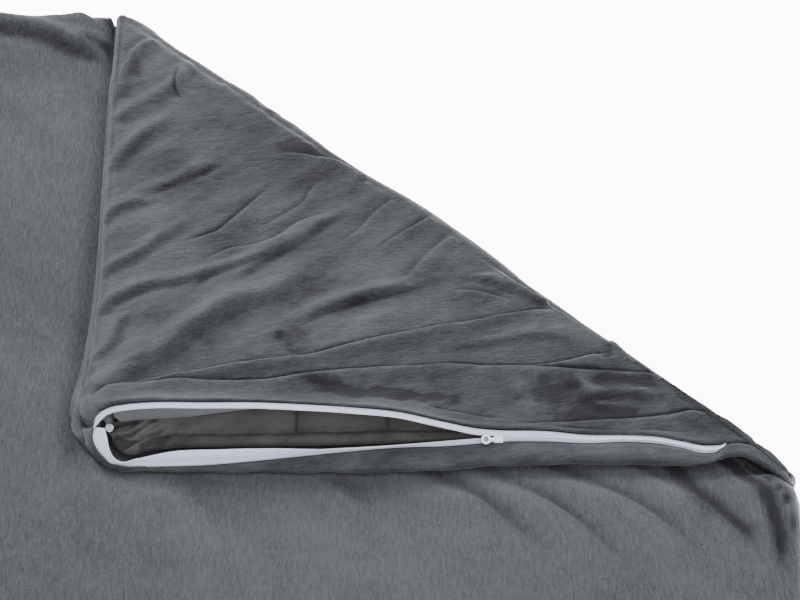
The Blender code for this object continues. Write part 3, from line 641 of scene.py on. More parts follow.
zipLine = {  # in millimetres, from the zip's start round the mouth's corner and along to the fold's end
    "upperOuter": metres([(223.2, -89.9, 56), (224.6, -85, 62), (230, -80.5, 68), (240, -78.6, 73.5),
        (256, -79.7, 79), (281.6, -81.9, 84), (331.1, -85, 87), (380.2, -85, 87), (429.4, -86.8, 86),
        (478.5, -88, 83), (527.7, -88.8, 77), (567.1, -90.9, 67), (606.7, -92, 57.4), (630, -91.2, 54.3),
        (670, -91.1, 53.3), (715.5, -92.5, 49), (748, -92.6, 48.8), (788, -94, 46.8), (808, -97, 44.2),
        (830, -100.3, 42), (850.5, -100, 43), (868, -99, 43.6), (885, -108, 43), (900, -123, 39),
        (912, -135.6, 32)]),
    "lowerOuter": metres([(223.2, -89.9, 56), (222.2, -99, 50), (227, -108, 42), (236, -115, 35),
        (249.4, -120.7, 31), (280.9, -119.7, 30), (330.2, -118.3, 30), (379.4, -113.8, 31),
        (428.8, -108.8, 33), (478.2, -104.8, 36), (527.7, -101.8, 38.5), (577.2, -100.6, 39.8),
        (606.9, -99.4, 42), (630, -98.4, 43.4), (670, -98.4, 43.8), (715.5, -100, 43), (748, -98.8, 43.6),
        (788, -100, 41.4), (808, -103.6, 39.6), (830, -107.6, 36.6), (842, -106, 37), (850.5, -100.4, 42),
        (868, -99.4, 43), (885, -108.6, 42.4), (900, -123.6, 38.2), (911.8, -136.2, 31.2)]),
    "contact": metres([(207.5, -60, 26.2), (212, -78, 25.6), (221, -95, 25.3), (233, -108, 25.6),
        (243, -118, 25.2), (280.6, -121.5, 25.2), (330.1, -122.5, 25.2), (428.9, -123, 25.2),
        (527.7, -122.6, 25.2), (577.1, -119, 25.2), (626.7, -114, 25.2), (725.9, -110.5, 25.2),
        (825.2, -108.5, 25.2), (842, -105, 25.8), (858, -103, 29), (870, -106, 31), (885, -115.5, 30),
        (900, -128.5, 27), (911.5, -138.5, 24.5)]),
}
leftSeam = metres([(223.2, -89.9, 56), (215, -80, 53), (209, -66, 49), (207.5, -48, 45.5), (209, -20, 41.5),
    (212.2, 111.1, 38.5), (206.4, 273.9, 37.5), (201, 431.7, 37), (198.5, 550, 38), (197.5, 607, 39)])
flapShape = {
    "top": 0.0508,
    "edgeRound": 0.018,
    "tipFall": 0.004,
    "lipFall": 0.075,
    "welt": 0.0040,
    "seamBead": 0.0016,
    "seamGroove": 0.0012,
    "cloth": 0.0024,
    "rollRadius": 0.0236,
    "rollWave": 0.0026,
    "rollFoot": 0.0012,
    "columns": 147,
    "rollColumns": 20,
    "rows": 292,
    "rowPower": 1.4,
    "reach": 0.997,
    "foldGap": 0.004,
    "lowest": -0.0030,
    "soften": 0.0012,
    "underColumns": 170,
    "underRows": 90,
    "lipRows": 12,
    "plump": 0.0095,
    "underLowest": 0.0246,
    # share of the way along the fold, and millimetres
    "shoulders": [(0, 6), (0.05, 6.4), (0.1, 6.4), (0.16, 6), (0.3, 6), (0.38, 4.5), (0.44, 1.5),
        (0.52, 0), (0.6, 4), (0.8, 3.5), (0.93, 5), (1, 0)],
    "hollows": [(0, 9), (0.055, 14.5), (0.1, 14.5), (0.15, 11.5), (0.2, 10), (0.25, 11.5), (0.28, 12.5),
        (0.33, 8.5), (0.36, 9), (0.4, 3), (0.45, 1), (0.5, 0), (0.55, 4.5), (0.6, 7.5), (0.66, 10.8),
        (0.72, 7.2), (0.8, 7), (0.86, 6.8), (0.91, 9.8), (0.94, 8.5), (0.97, 2), (1, 0)],
}


def flapPlan(front, rows, shares):
    # rows between the left seam and the fold line, with the front one pulled onto the front edge
    v = np.linspace(0, 1, rows) ** flapShape["rowPower"] * flapShape["reach"]
    left = smoothPath(leftSeam, v)
    tip = front[-1][:2]
    foldLine = tip + (foldA + foldDir * flapShape["foldGap"] - tip) * v[:, None]
    frontPath = smoothPath(front, shares)
    u = (frontPath[:, 0] - frontPath[0, 0]) / (frontPath[-1, 0] - frontPath[0, 0])
    u = np.maximum.accumulate(u)
    x = left[:, None, 0] * (1 - u) + foldLine[:, None, 0] * u
    y = left[:, None, 1] * (1 - u) + foldLine[:, None, 1] * u
    keep = (1 - v[:, None]) ** 3
    x = x + (frontPath[:, 0] - x[0]) * keep
    y = y + (frontPath[:, 1] - y[0]) * keep
    return x, y, left, frontPath, v


def flapSkin(x, y, left, front, v):
    # heights: round at the left seam, falling by a cosine to the zip's edge, a little sunk along the fold
    s = flapShape
    fromLeft, fromFront = distanceTo(x, y, left[:, None]), distanceTo(x, y, front[None])
    fromFold = np.hypot(x - x[:, -1:], y - y[:, -1:])
    tipFall = s["tipFall"] * smoothStep((v[:, None] - 0.93) / 0.07)
    z = left[:, None, 2] + (s["top"] - tipFall - left[:, None, 2]) * roundUp(fromLeft / s["edgeRound"])
    fall = (1 + np.cos(math.pi * np.clip(fromFront / s["lipFall"], 0, 1) ** 0.8)) / 2
    z = z + (front[None, :, 2] - z[0][None, :]) * fall
    welt = s["welt"] * (1 - np.exp(-fromFront / 0.003)) * np.exp(-fromFront / 0.012)
    z = z + welt * smoothStep(fromLeft / 0.02)
    z = z + s["seamBead"] * bell((fromLeft - 0.0045) / 0.0022)
    z = z - s["seamGroove"] * bell((fromLeft - 0.009) / 0.002)
    sunk = np.interp(v, *np.transpose(s["shoulders"]))[:, None] / 1000
    z = z - sunk * (1 - smoothStep(fromFold / 0.020)) ** 1.5 * smoothStep(fromFront / 0.04)
    return z, fromFold


def flapRoll(x, y, z, v):
    # the skin with its roll over the fold, a half circle down to the floor, and the same laid flat
    s = flapShape
    turn = np.linspace(0, math.pi, s["rollColumns"] + 1)[1:]
    wave = s["rollWave"] * layeredNoise(v * 0.74, v * 0, 0.075, 17, 2)
    hollow = np.interp(v, *np.transpose(s["hollows"])) / 1000
    radius = s["rollRadius"] + (wave - hollow)[:, None]
    size = np.sqrt(np.clip((1 - v[:, None]) / 0.045, 0, 1)) * 0.75 + 0.25
    size = size * (0.62 + 0.38 * smoothStep(v[:, None] / 0.05))
    out = radius * np.sin(turn) * size
    edgeX, edgeY, edgeZ = x[:, -1:], y[:, -1:], z[:, -1:]
    drop = (edgeZ - s["rollFoot"]) * (1 - np.cos(turn)) / 2
    roll = np.stack([edgeX + foldOut[0] * out, edgeY + foldOut[1] * out, edgeZ - drop], -1)
    flatX = np.concatenate([x, edgeX + foldOut[0] * radius * turn], 1)
    flatY = np.concatenate([y, edgeY + foldOut[1] * radius * turn], 1)
    return np.concatenate([np.stack([x, y, z], -1), roll], 1), flatX, flatY, turn


def makeFlapTop():
    s = flapShape
    columns = s["columns"]
    x, y, left, front, v = flapPlan(zipLine["upperOuter"], s["rows"], np.linspace(0, 1, columns))
    z, fromFold = flapSkin(x, y, left, front, v)
    p, flatX, flatY, turn = flapRoll(x, y, z, v)
    height, shade = foldRelief(flatX, flatY, flapFolds)
    a, b = turned(flatX, flatY, 32)
    height += 0.0016 * layeredNoise(a / 2.6, b, 0.024, 3) + 0.0020 * softNoise(a / 1.6, b, 0.075, 9)
    height = s["lowest"] + np.logaddexp(0, (height - s["lowest"]) / s["soften"]) * s["soften"]
    # the relief fades at the seams, round the roll and, where it sinks, beside the fold
    fromLeft = distanceTo(flatX, flatY, left[:, None])
    quiet = smoothStep(fromLeft / 0.012) * (0.25 + 0.75 * smoothStep(v[:, None] / 0.03))
    quiet = quiet * (1 - 0.75 * smoothStep((v[:, None] - 0.9) / 0.1))
    rolled = np.concatenate([np.ones(columns), 1 - 0.8 * turn / math.pi])
    nearFold = np.concatenate([1 - smoothStep(fromFold / 0.016), np.ones((s["rows"], s["rollColumns"]))], 1)
    height = np.where(height < 0, height * (1 - 0.8 * nearFold), height)
    p = p + surfaceNormals(p) * (height * quiet * rolled)[..., None]
    p[..., 2] = np.maximum(p[..., 2], 0.0004)
    shade = shade + patchShade(flatX, flatY, flapPatches)
    shade = shade + 0.26 * layeredNoise(a / 3.0, b, 0.020, 41) + 0.16 * layeredNoise(flatX, flatY, 0.09, 23)
    # painted shade darkens the flap towards the back, it is a little darker all over, and a painted highlight
    # runs along the left seam's ridge
    shade = shade - 0.20 * smoothStep((flatY - 0.12) / 0.25) - 0.06 + 0.35 * bell((fromLeft - 0.003) / 0.002)
    # a fan from the front edge's end closes the roll
    cap = p[:1].copy()
    cap[:, columns:] = p[:1, columns - 1 : columns]
    p, shade = np.concatenate([cap, p]), np.concatenate([shade[:1], shade])
    piece = clothPiece("flapTop", p, shade, s["cloth"], None, paints["plushFlap"])
    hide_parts("cover_bottom_panel_corner")
    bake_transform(piece)


makeFlapTop()
print("turned corner's upper panel made")


def makeFlapUnder():
    # from the lower tape round a plush roll to the blanket, then flat back to the fold
    s = flapShape
    shares = np.linspace(0, 1, s["underColumns"])
    x, y, left, front, v = flapPlan(zipLine["contact"], s["underRows"], shares)
    bulge = roundUp(distanceTo(x, y, left[:, None]) / s["edgeRound"])
    z = left[:, None, 2] + (front[None, :, 2].min() - left[:, None, 2]) * bulge
    z = front[None, :, 2] + (z - front[None, :, 2]) * np.clip(v[:, None] / 0.02, 0, 1)
    back = np.stack([x, y, z], -1)
    lip = smoothPath(zipLine["lowerOuter"], shares) + [0, -0.0010, 0.0006]
    steps = np.linspace(0, 1, s["lipRows"])[:-1, None, None]
    strip = lip[None] * (1 - steps) + back[:1] * steps
    plump = s["plump"] * np.sin(math.pi * steps[..., 0]) ** 0.8
    plump = plump * (0.22 + 0.78 * smoothStep((strip[..., 0] - 0.30) / 0.3))
    strip[..., 1] -= plump
    strip[..., 2] += plump * 0.25
    strip[..., 0] -= plump * 0.9 * smoothStep((0.262 - strip[..., 0]) / 0.04)
    p = np.concatenate([strip, back])
    ripple = 0.0012 * layeredNoise(p[..., 0], p[..., 1] + p[..., 2] * 2, 0.022, 61)
    ripple[s["lipRows"]:] *= 0.2
    ripple[0] *= 0
    p = p + surfaceNormals(p) * ripple[..., None]
    p[..., 2] = np.maximum(p[..., 2], s["underLowest"])
    # painted light lightens this panel over a random tone; across the lip it is darker near x 0.515
    shade = 0.26 + 0.30 * layeredNoise(p[..., 0], p[..., 2] * 2 + p[..., 1], 0.03, 83)
    shade = shade - 0.4 * bell((p[..., 0] - 0.515) / 0.02) * (p[..., 1] < -0.1)
    p, shade, paint, replaced = p[:, ::-1], shade[:, ::-1], paints["plushFlap"], ("cover_top_panel_corner",)
    piece = clothPiece("flapUnder", p, shade, s["cloth"], "corner_flap", paint, replaced)


makeFlapUnder()
print("turned corner's lower panel made")

# the blanket

# each fold's dark is painted shade in its groove, its light a painted highlight on its crest
blanketFolds = [
    fold([(340, -116), (380, -124), (414, -127), (449, -136), (479, -167), (520, -215)], high=4.4, cut=6,
         soft=24, dark=0.51, light=0.15, fade=(0.15, 0.4)),
    fold([(500, -116), (543, -126), (567, -140), (601, -167), (629, -201), (680, -260)], high=6.8, cut=6,
         soft=22, dark=0.72, light=0.24, fade=(0.1, 0.4)),
    fold([(575, -113), (602, -122), (645, -150), (688, -187), (720, -227), (760, -280)], high=6.5, cut=5,
         soft=20, dark=0.65, light=0.24, fade=(0.1, 0.4)),
    fold([(645, -112), (676, -122), (714, -143), (757, -174), (789, -207), (825, -260)], high=7.2, cut=5,
         soft=18, dark=0.72, light=0.27, fade=(0.1, 0.4)),
    fold([(735, -106), (760, -118), (790, -142), (812, -176), (830, -215)], high=5.9, cut=4, soft=12,
         dark=0.72, light=0.27, fade=(0.1, 0.4)),
    fold([(764, -92), (778, -104), (795, -128), (813, -158), (833, -186), (854, -216), (872, -245)], high=8,
         cut=4.5, soft=11, dark=1.4, darkWide=9, light=0.34, fade=(0.05, 0.3)),
    fold([(824, -94), (838, -104), (853, -119), (868, -147), (875, -177), (881, -212), (886, -270)],
         high=10, cut=3.8, soft=11, dark=2, darkWide=7, light=0.34, fade=(0.04, 0.3)),
    fold([(858, -98), (868, -106), (882, -122), (892, -146)], high=6, cut=3, soft=8, dark=1.5, light=0.3,
         fade=(0.05, 0.3)),
    fold([(868, -110), (878, -122), (889, -143), (902, -182), (906, -230)], high=6.5, cut=2.5, soft=6,
         dark=1.16, light=0.3, fade=(0.05, 0.3)),
    fold([(270, -118), (286, -129), (308, -167), (344, -207), (390, -240)], high=2.6, cut=12, soft=30,
         dark=0.22, light=0.12, fade=(0.2, 0.4)),
    fold([(0, 590), (60, 586), (115, 576), (155, 556), (190, 548)], high=9.1, cut=5, soft=14, dark=0.87,
         light=0.3, side=1, fade=(0.3, 0.08)),
    fold([(100, 602), (140, 598), (165, 592), (196, 580)], high=7.8, cut=3, soft=8, dark=1.45, light=0.3,
         fade=(0.3, 0.08)),
    fold([(150, 560), (168, 568), (184, 562), (198, 556)], high=6.5, cut=3, soft=8, dark=1.16, light=0.3,
         side=1, fade=(0.3, 0.08)),
]
blanketShape = {
    "seamTop": 0.0126,
    "seamBottom": 0.0114,
    "edgeRound": 0.020,
    "cloth": 0.0024,
    "cornerRound": 0.034,
    "coarse": 0.0125,
    "fine": 0.0052,
    "split": -0.10,
    "rowSplits": (-0.36, -0.05),
    "pockets": 0.1,
    "lowest": -0.0004,
    "soften": 0.0009,
    "rearOut": 0.0120,
    "nookAt": (0.915, 0.055),
    "bunchAt": (0.893, 0.024),
}


def blanketGrid(fine, coarse):
    # rows of constant Y whose ends follow the rounded rectangle, and the fold where a corner is missing
    s = blanketShape
    low, high = s["rowSplits"]
    rowsLow = np.linspace(-halfWide, low, int(0.25 / coarse))
    rowsMid = np.linspace(low, high, int(0.31 / fine))[1:]
    rowsHigh = np.linspace(high, halfWide, int(0.66 / (coarse * 0.62)))[1:]
    rows = np.concatenate([rowsLow, rowsMid, rowsHigh])
    leftPart = np.linspace(0, 1, int((s["split"] + halfLong) / coarse))
    rightPart = np.linspace(0, 1, int((halfLong - s["split"]) / fine))[1:]
    edge = np.clip((np.abs(rows) - (halfWide - s["cornerRound"])) / s["cornerRound"], 0, 1)
    pull = s["cornerRound"] * (1 - np.sqrt(1 - edge**2)) * 0.96
    leftEnd = -halfLong + pull
    foldEnd = foldA[0] + (foldA[1] - rows) * foldOut[1] / foldOut[0]
    roundEnd = halfLong - np.where(rows < 0, pull, 0)
    rightEnd = np.where(rows < foldB[1], roundEnd, np.minimum(halfLong, foldEnd))
    x = np.concatenate([
        leftEnd[:, None] + (s["split"] - leftEnd[:, None]) * leftPart,
        s["split"] + (rightEnd[:, None] - s["split"]) * rightPart,
    ], 1)
    return x, np.repeat(rows[:, None], x.shape[1], 1), leftEnd, rightEnd, rows


def edgeDistance(x, y, leftEnd, rightEnd, rows):
    # how far each point is from the real edges; on the right that is only below the fold's end
    right = np.where(rows < foldB[1], rightEnd, 9)[:, None] - x
    near = np.minimum(x - leftEnd[:, None], right)
    near = np.minimum(near, np.minimum(y + halfWide, halfWide - y))
    return np.maximum(near, 0)


def bunchedCloth(x, y, z, bulge):
    # the rear edge is pushed up and out beside the fold, and the cloth is bunched at the fold's other end
    s = blanketShape
    rear = smoothStep((y - 0.50) / 0.10) * smoothStep((0.207 - x) / 0.016)
    z = z + rear * (0.0125 * bulge + 0.0050) + 0.0020 * rear * layeredNoise(x, y, 0.07, 33)
    y = y + s["rearOut"] * rear
    (nookX, nookWide), (bunchX, bunchWide) = s["nookAt"], s["bunchAt"]
    nook = bell((x - nookX) / nookWide) * smoothStep((-0.128 - y) / 0.030) * smoothStep((y + 0.30) / 0.13)
    z = z + nook * (0.0075 * bulge + 0.0040)
    bunch = bell((x - bunchX) / bunchWide) * smoothStep((-0.092 - y) / 0.016) * smoothStep((y + 0.19) / 0.06)
    z = z + 0.0060 * bunch * bulge
    return x + nook * 0.0050, y, z


def makeBlanketTop():
    s = blanketShape
    x, y, leftEnd, rightEnd, rows = blanketGrid(s["fine"], s["coarse"])
    bulge = roundUp(edgeDistance(x, y, leftEnd, rightEnd, rows) / s["edgeRound"])
    z = s["seamTop"] + (baseTop - s["seamTop"]) * bulge
    height, shade = foldRelief(x, y, blanketFolds)
    a, b = turned(x, y, -50)
    height += 0.0011 * layeredNoise(x, y, 0.16, 3) + 0.0004 * layeredNoise(a / 2, b, 0.03, 8)
    shown = np.maximum(smoothStep((0.196 - x) / 0.045), smoothStep((-0.124 - y) / 0.045))
    quilt = np.abs(np.sin(math.pi * x / s["pockets"]) * np.sin(math.pi * y / s["pockets"])) ** 0.35
    height = height + 0.0026 + 0.0006 * (quilt - 0.8)
    height = s["lowest"] + np.logaddexp(0, (height - s["lowest"]) / s["soften"]) * s["soften"]
    x, y, z = bunchedCloth(x, y, z + height * bulge * shown, bulge)
    # under the turned corner the plain top is kept
    z = np.where(shown < 0.02, np.minimum(z, baseTop), z)
    shade = shade + 0.09 * layeredNoise(x, y, 0.14, 29) + 0.10 * layeredNoise(a / 2.5, b, 0.022, 47)
    # painted shadow in a dark band along the turned corner's left edge, with some pile pressed flat there;
    # painted light lifts the blanket right of that edge, where the corner casts shade; left of it and towards
    # the right end it is a little darker
    shade = shade - 0.65 * bell((x - 0.200) / 0.013) * smoothStep((y + 0.13) / 0.05)
    shade = shade + 0.18 * smoothStep((x - 0.22) / 0.15) - 0.08 * smoothStep((0.20 - x) / 0.1)
    shade = shade - 0.06 * smoothStep((x - 0.66) / 0.15)
    p, paint, replaced = np.stack([x, y, z], -1), paints["plushBase"], ("cover_top_panel",)
    piece = clothPiece("blanketTop", p, shade, s["cloth"], "blanket", paint, replaced)


def makeBlanketUnder():
    s = blanketShape
    x, y, leftEnd, rightEnd, rows = blanketGrid(0.012, 0.016)
    bulge = roundUp(edgeDistance(x, y, leftEnd, rightEnd, rows) / (0.8 * s["edgeRound"]))
    z = s["seamBottom"] * (1 - bulge) + 0.0003
    p = np.stack([x, y, z], -1)[:, ::-1]
    x, y = p[..., 0], p[..., 1]
    shade = 0.2 * layeredNoise(x, y, 0.12, 91) + 0.1 * layeredNoise(x, y, 0.02, 97)
    paint, replaced = paints["plushBase"], ("cover_bottom_panel",)
    piece = clothPiece("blanketUnder", p, shade, s["cloth"], "blanket", paint, replaced)


makeBlanketTop()
makeBlanketUnder()
print("blanket's panels made")

# the insert, seen inside the mouth

insertShape = {
    "front": metres([(242, -93, 44), (248, -100, 42), (259, -106, 40), (275, -103, 43), (305.1, -99.5, 44),
        (350, -98.5, 44), (428.8, -96.5, 44), (527.7, -93.5, 44.5), (610, -90, 43), (720, -86, 43),
        (830, -82, 42.5)]),
    "seams": (0.4243, 0.5148, 0.6060, 0.6980, 0.7900),
    "columns": 340,
    "nearRows": 58,
    "farRows": 42,
    "depths": (0.06, 0.30),
    "hem": 0.0105,
    "hemDrop": 0.0080,
    "rise": 0.0108,
    "rest": 0.0438,
    "pocketSeam": 0.0030,
    "stitch": 0.0012,
    "hemStitch": 0.0007,
    "pucker": 0.00045,
    "puckerPitch": 0.009,
    "crumple": 0.0046,
    "cloth": 0.0010,
}


def insertPlan(front):
    # rows at growing depth behind the front edge, widened from it towards the fold
    s = insertShape
    near, far = s["depths"]
    d = np.r_[np.linspace(0, near, s["nearRows"]), np.linspace(near, far, s["farRows"] + 1)[1:]][:, None]
    foldX = foldA[0] + (foldA[1] - (front[None, :, 1] + d)) * foldOut[1] / foldOut[0] - 0.012
    u = (front[:, 0] - front[0, 0]) / (front[-1, 0] - front[0, 0])
    x = front[None, :, 0] + (np.minimum(foldX, 0.84) - front[-1, 0]) * u * smoothStep(d / 0.05)
    x = np.maximum(x, 0.2420 - 0.012 * smoothStep(d / 0.03))
    return x, front[None, :, 1] + d, d


def makeInsertTop():
    s = insertShape
    front = smoothPath(s["front"], s["columns"])
    x, y, d = insertPlan(front)
    rounded = roundUp(d / 0.006)
    z = front[None, :, 2] - s["hemDrop"] * (1 - rounded)
    # the hem is a flat border, and the pocket behind it swells up towards the upper tape
    opening = smoothStep((0.600 - x) / 0.16) * smoothStep((x - 0.238) / 0.03)
    swell = smoothStep((d - s["hem"]) / 0.026) * (1 - smoothStep((d - 0.038) / 0.035))
    z = z + s["rise"] * swell * opening
    back = smoothStep((d - 0.046) / 0.03)
    z = z * (1 - back) + s["rest"] * back
    seamGap = np.min(np.abs(x[..., None] - np.array(s["seams"])), -1)
    behind = smoothStep((d - s["hem"]) / 0.004)
    z = z - s["pocketSeam"] * (bell(seamGap / 0.0016) + bell(seamGap / 0.012)) * behind
    # two rows of stitches, and the puckers beside the rear one
    z = z - s["stitch"] * bell((d - s["hem"]) / 0.0013)
    z = z - s["hemStitch"] * bell((d - 0.35 * s["hem"]) / 0.0010)
    phase = 2 * math.pi * x / s["puckerPitch"] + 5 * softNoise(x, y, 0.02, 6)
    z = z + s["pucker"] * np.sin(phase) * bell((d - s["hem"]) / 0.004)
    crumple = smoothStep((0.330 - x) / 0.07) * (1 - back)
    a, b = turned(x, y, 24)
    wrinkle = 1 - np.abs(layeredNoise(a / 3.0, b, 0.011, 12)) * 2.2
    z = z + s["crumple"] * crumple * wrinkle * rounded
    z = z + 0.0013 * layeredNoise(a / 2, b, 0.018, 14) * rounded * (1 - back)
    z = np.maximum(z, 0.0335 + 0.0088 * smoothStep(d / 0.012))
    # painted shade darkens the hem, thin lines along the rear stitching and the pocket seams, and the
    # crumpled valleys; the last term is a random tone
    shade = -0.30 * (1 - smoothStep((d - s["hem"]) / 0.003)) - 0.22 * bell((d - s["hem"]) / 0.0012)
    shade = shade - 0.45 * bell(seamGap / 0.0014) * behind
    shade = shade - 0.50 * crumple * smoothStep((0.42 - wrinkle) / 0.5) + 0.10 * layeredNoise(x, y, 0.04, 15)
    p, paint = np.stack([x, y, z], -1), paints["insertCloth"]
    replaced = ("insert_lower_shell_corner", "insert_binding_corner", "insert_lower_padding_corner")
    piece = clothPiece("insertTop", p, shade, s["cloth"], "corner_flap", paint, replaced)


makeInsertTop()
print("insert made")

# the zip

zipShape = {
    "fall": np.array([0, -0.669, -0.743]),  # down the plane in which the zip leans
    "shown": 0.0066,
    "tape": 0.0006,
    "steps": 360,
    "mouthSteps": 260,
    "coilPitch": 0.0013,
    "upperCoil": 0.0008,
    "lowerCoil": 0.0009,
    "chainGap": 0.0004,
    "lowerInner": metres([(235.1, -91.3, 56), (237.8, -99.3, 50), (240, -106.6, 42.5), (244.5, -113.5, 37),
        (253, -117.2, 33.6), (269, -113.8, 35.8), (302.4, -108, 40), (349.9, -106.6, 41.5),
        (401.2, -105, 41.2), (450.6, -104.8, 39.8), (500, -102, 40), (540, -99.2, 41.2), (580, -96.8, 43.4),
        (610, -95.4, 45.4), (630, -95.1, 46.2)]),
}
upperEdge, lowerEdge = zipLine["upperOuter"][:-4], zipLine["lowerOuter"][:-4]  # short of the zip's hidden end


def besides(path, width):
    # a second edge at this width to the right of the path, both lying in the zip's own leaning plane
    fall = zipShape["fall"]
    ahead = np.gradient(path, axis=0)
    a, b = ahead[:, 0], ahead @ fall
    length = np.hypot(a, b)
    a, b = a / length, b / length
    shift = np.stack([-b, a * 0, a * 0], 1) + a[:, None] * fall
    return path + shift * np.reshape(width, (-1, 1))


def ribbon(name, outer, inner, columns, paint, replaced, thick):
    # flat cloth between two edges, with the millimetres across it for the ribs
    share = np.linspace(0, 1, columns)[None, :, None]
    p = outer[:, None, :] * (1 - share) + inner[:, None, :] * share
    points, quads = closedCloth(p[:, ::-1], thick)
    wide = np.linalg.norm(inner - outer, axis=1)[:, None] * share[..., 0] * 1000
    across = np.concatenate([wide[:, ::-1].ravel()] * 2)
    return makePiece(name, points, quads, "corner_flap", paint, replaced, {"across": across})


def coil(name, path, radius, replaced):
    # a round bar that swells at every turn of the coil
    lengths = np.r_[0, np.cumsum(np.linalg.norm(np.diff(path, axis=0), axis=1))]
    count = int(lengths[-1] / zipShape["coilPitch"] * 5)
    dense = smoothPath(path[::4], count)
    turns = np.linspace(0, lengths[-1] / zipShape["coilPitch"], count)
    swell = radius * (0.80 + 0.28 * np.abs(np.sin(math.pi * turns)))
    points, quads = tubeAlong(dense, swell, 8, up=(0, -0.707, 0.707))
    return makePiece(name, points, quads, "corner_flap", paints["zipCoil"], replaced)


def lowerShareAt(x):
    # the share of the way along the lower tape's edge at which it reaches these X values
    path = smoothPath(lowerEdge, 1200)
    return np.interp(x, np.maximum.accumulate(path[:, 0]), np.linspace(0, 1, 1200))


def pairedOuter(found):
    # round the corner the lower tape's edges are paired by their share of the way, further on by X
    share = np.linspace(0, 1, len(found))
    early = smoothPath(lowerEdge, share * 0.60)
    mix = smoothStep((share - 0.10) / 0.25)[:, None]
    return early * (1 - mix) + found * mix


def makeZip():
    s = zipShape
    upper = smoothPath(upperEdge, s["steps"])
    # upper tape: the shown width ends at the coil; where the zip is closed the coil lies on the chain's line
    gap = np.array([0, s["chainGap"], s["chainGap"]])
    shut = smoothStep((upper[:, 0] - 0.585) / 0.05)[:, None]
    middle = 0.5 * (upper + smoothPath(lowerEdge, lowerShareAt(upper[:, 0])))
    parted = besides(upper, s["shown"] * smoothStep(np.arange(s["steps"]) / 10 + 0.35))
    inner = parted * (1 - shut) + (middle + gap) * shut
    outer = upper + [0, 0.0012, -0.0030]
    replaced = ("zip_upper_tape_corner",)
    piece = ribbon("zipUpperTape", outer, inner, 7, paints["zipTape"], replaced, s["tape"])
    coil("zipUpperCoil", inner + [0, 0.0005, -0.0005], s["upperCoil"], ("zip_upper_coil_corner",))
    # lower tape: along the open mouth its coil lies about midway across it
    closed = middle[upper[:, 0] > 0.634] - gap
    inner = np.concatenate([smoothPath(s["lowerInner"], s["mouthSteps"]), closed])
    outer = smoothPath(lowerEdge, lowerShareAt(inner[:, 0]))
    outer[: s["mouthSteps"]] = pairedOuter(outer[: s["mouthSteps"]])
    replaced = ("zip_lower_tape_corner",)
    tucked = outer + [0, 0.0020, -0.0018]
    piece = ribbon("zipLowerTape", tucked, inner, 9, paints["zipTape"], replaced, s["tape"])
    mid = 0.48 * smoothStep((0.47 - inner[:, 0]) / 0.06) * smoothStep((inner[:, 0] - 0.262) / 0.03)
    line = inner + (outer - inner) * mid[:, None]
    coil("zipLowerCoil", line + [0, -0.0004, 0.0003], s["lowerCoil"], ("zip_lower_coil_corner",))


liningShape = {
    "top": metres([
        (244, -83.6, 69), (260, -85.2, 73), (281.6, -86.8, 77.5), (331.1, -89, 80.2), (380.2, -89, 80),
        (429.4, -90, 79), (478.5, -90.5, 76), (527.7, -91, 70.5)]),
    "steps": 150,
    "hang": 0.0155,
    "least": 0.0010,
    "cloth": 0.0008,
}


def makeLining():
    # the cover's smooth inner side, hanging a little way below the upper tape
    s = liningShape
    path = smoothPath(s["top"], s["steps"])
    x = path[:, 0]
    hang = s["hang"] * smoothStep((x - 0.240) / 0.012) * smoothStep((0.400 - x) / 0.11) + s["least"]
    low = path + np.stack([hang * 0, 0.10 * hang + 0.0024, -hang], 1)
    path = path + [0, 0.0032, 0.001]
    piece = ribbon("coverLining", path, low, 8, paints["liningCloth"], (), s["cloth"])


buttonShape = {
    "middle": (0.2398, -0.0850, 0.0500),
    "lean": 48,
    "sides": 40,
    "profile": metres([  # radius and height from the middle of the face round the rim to the back
        (0, 0.6), (0.8, 0.6), (1.6, 0.7), (2.4, 1.0), (3.1, 1.5), (3.6, 1.7), (4.0, 1.4), (4.2, 0.8),
        (4.1, 0.1), (3.5, -0.4), (2.0, -0.6), (0, -0.6)]),
    "loopMiddle": (0.2330, -0.0830, 0.0525),
    "loopSize": (0.0042, 0.0030, 0.0045),
    "loopFeet": ((0.2360, -0.0800, 0.0440), (0.2300, -0.0800, 0.0440)),
    "loopRadius": 0.0011,
}


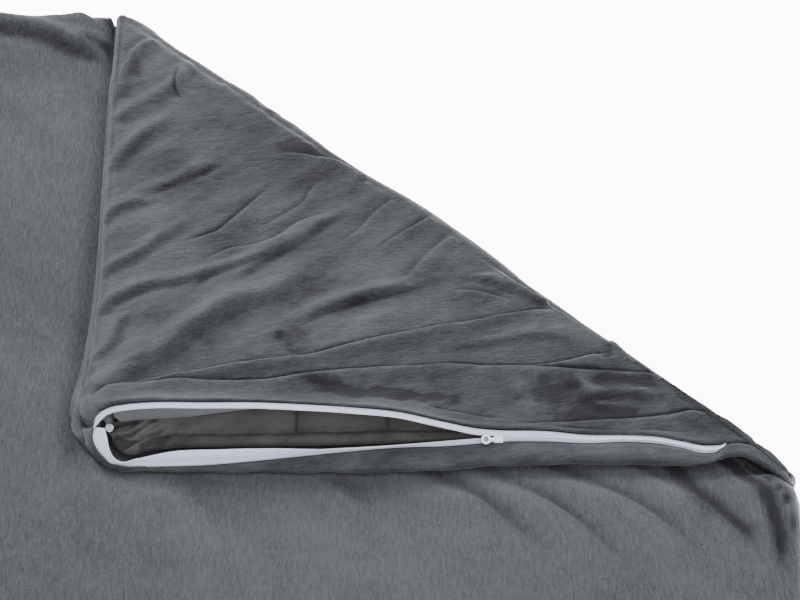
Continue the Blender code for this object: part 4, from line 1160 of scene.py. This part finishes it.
def makeButton():
    # a shallow dish turned about a leaning axis, with a rim, a sunk middle and two hollows for its stitches
    s = buttonShape
    lean = math.radians(s["lean"])
    angle = np.linspace(0, 2 * math.pi, s["sides"], endpoint=False)
    r, h = s["profile"][:, :1], s["profile"][:, 1:]
    dip = 0.0005 * bell((r - 0.0012) / 0.0006) * (np.cos(2 * angle) > 0.6) * (h > 0.0004)
    x, y, z = r * np.cos(angle), r * np.sin(angle), h - dip
    y, z = y * math.cos(lean) - z * math.sin(lean), y * math.sin(lean) + z * math.cos(lean)
    points = np.stack([x, y, z], -1).reshape(-1, 3) + s["middle"]
    quads = gridQuads(len(r), s["sides"], wrap=True)[:, ::-1]
    paint = paints["buttonShell"]
    makePiece("cornerButton", points, quads, "corner_flap", paint, ("corner_button",))
    turn = np.linspace(-0.4, math.pi + 0.4, 40)
    bow = np.stack([np.cos(turn), np.sin(turn), np.sin(turn)], 1) * s["loopSize"] + s["loopMiddle"]
    start, end = s["loopFeet"]
    points, quads = tubeAlong(np.concatenate([[start], bow, [end]]), s["loopRadius"], 10, up=(0.3, 1, 0.2))
    paint = paints["insertCloth"]
    makePiece("cornerLoop", points, quads, "corner_flap", paint, ("corner_loop",))


makeZip()
makeLining()
makeButton()
print("zip, lining and button made")

# materials of the frame's own pieces that still show

nodePaints = {
    "insert_lower_shell": "insertCloth", "insert_upper_shell": "insertCloth", "insert_binding": "insertCloth",
    "insert_upper_shell_corner": "insertCloth", "corner_loop": "insertCloth",
    "insert_lower_padding": "paddingWool", "insert_upper_padding": "paddingWool",
    "insert_lower_padding_corner": "paddingWool", "insert_upper_padding_corner": "paddingWool",
    "insert_bead_pockets": "beadFill", "insert_bead_pockets_corner": "beadFill",
    "zip_top_tape": "zipTape", "zip_bottom_tape": "zipTape",
    "zip_top_coil": "zipCoil", "zip_bottom_coil": "zipCoil",
    "zip_end_stop": "sliderWhite", "zip_upper_stop": "sliderWhite", "zip_lower_stop": "sliderWhite",
    "slider_body": "sliderWhite", "slider_pull": "sliderWhite", "corner_button": "buttonShell",
}
for node, paintName in nodePaints.items():
    for place in frame["nodes"][node].material_slots:
        place.material = paints[paintName]
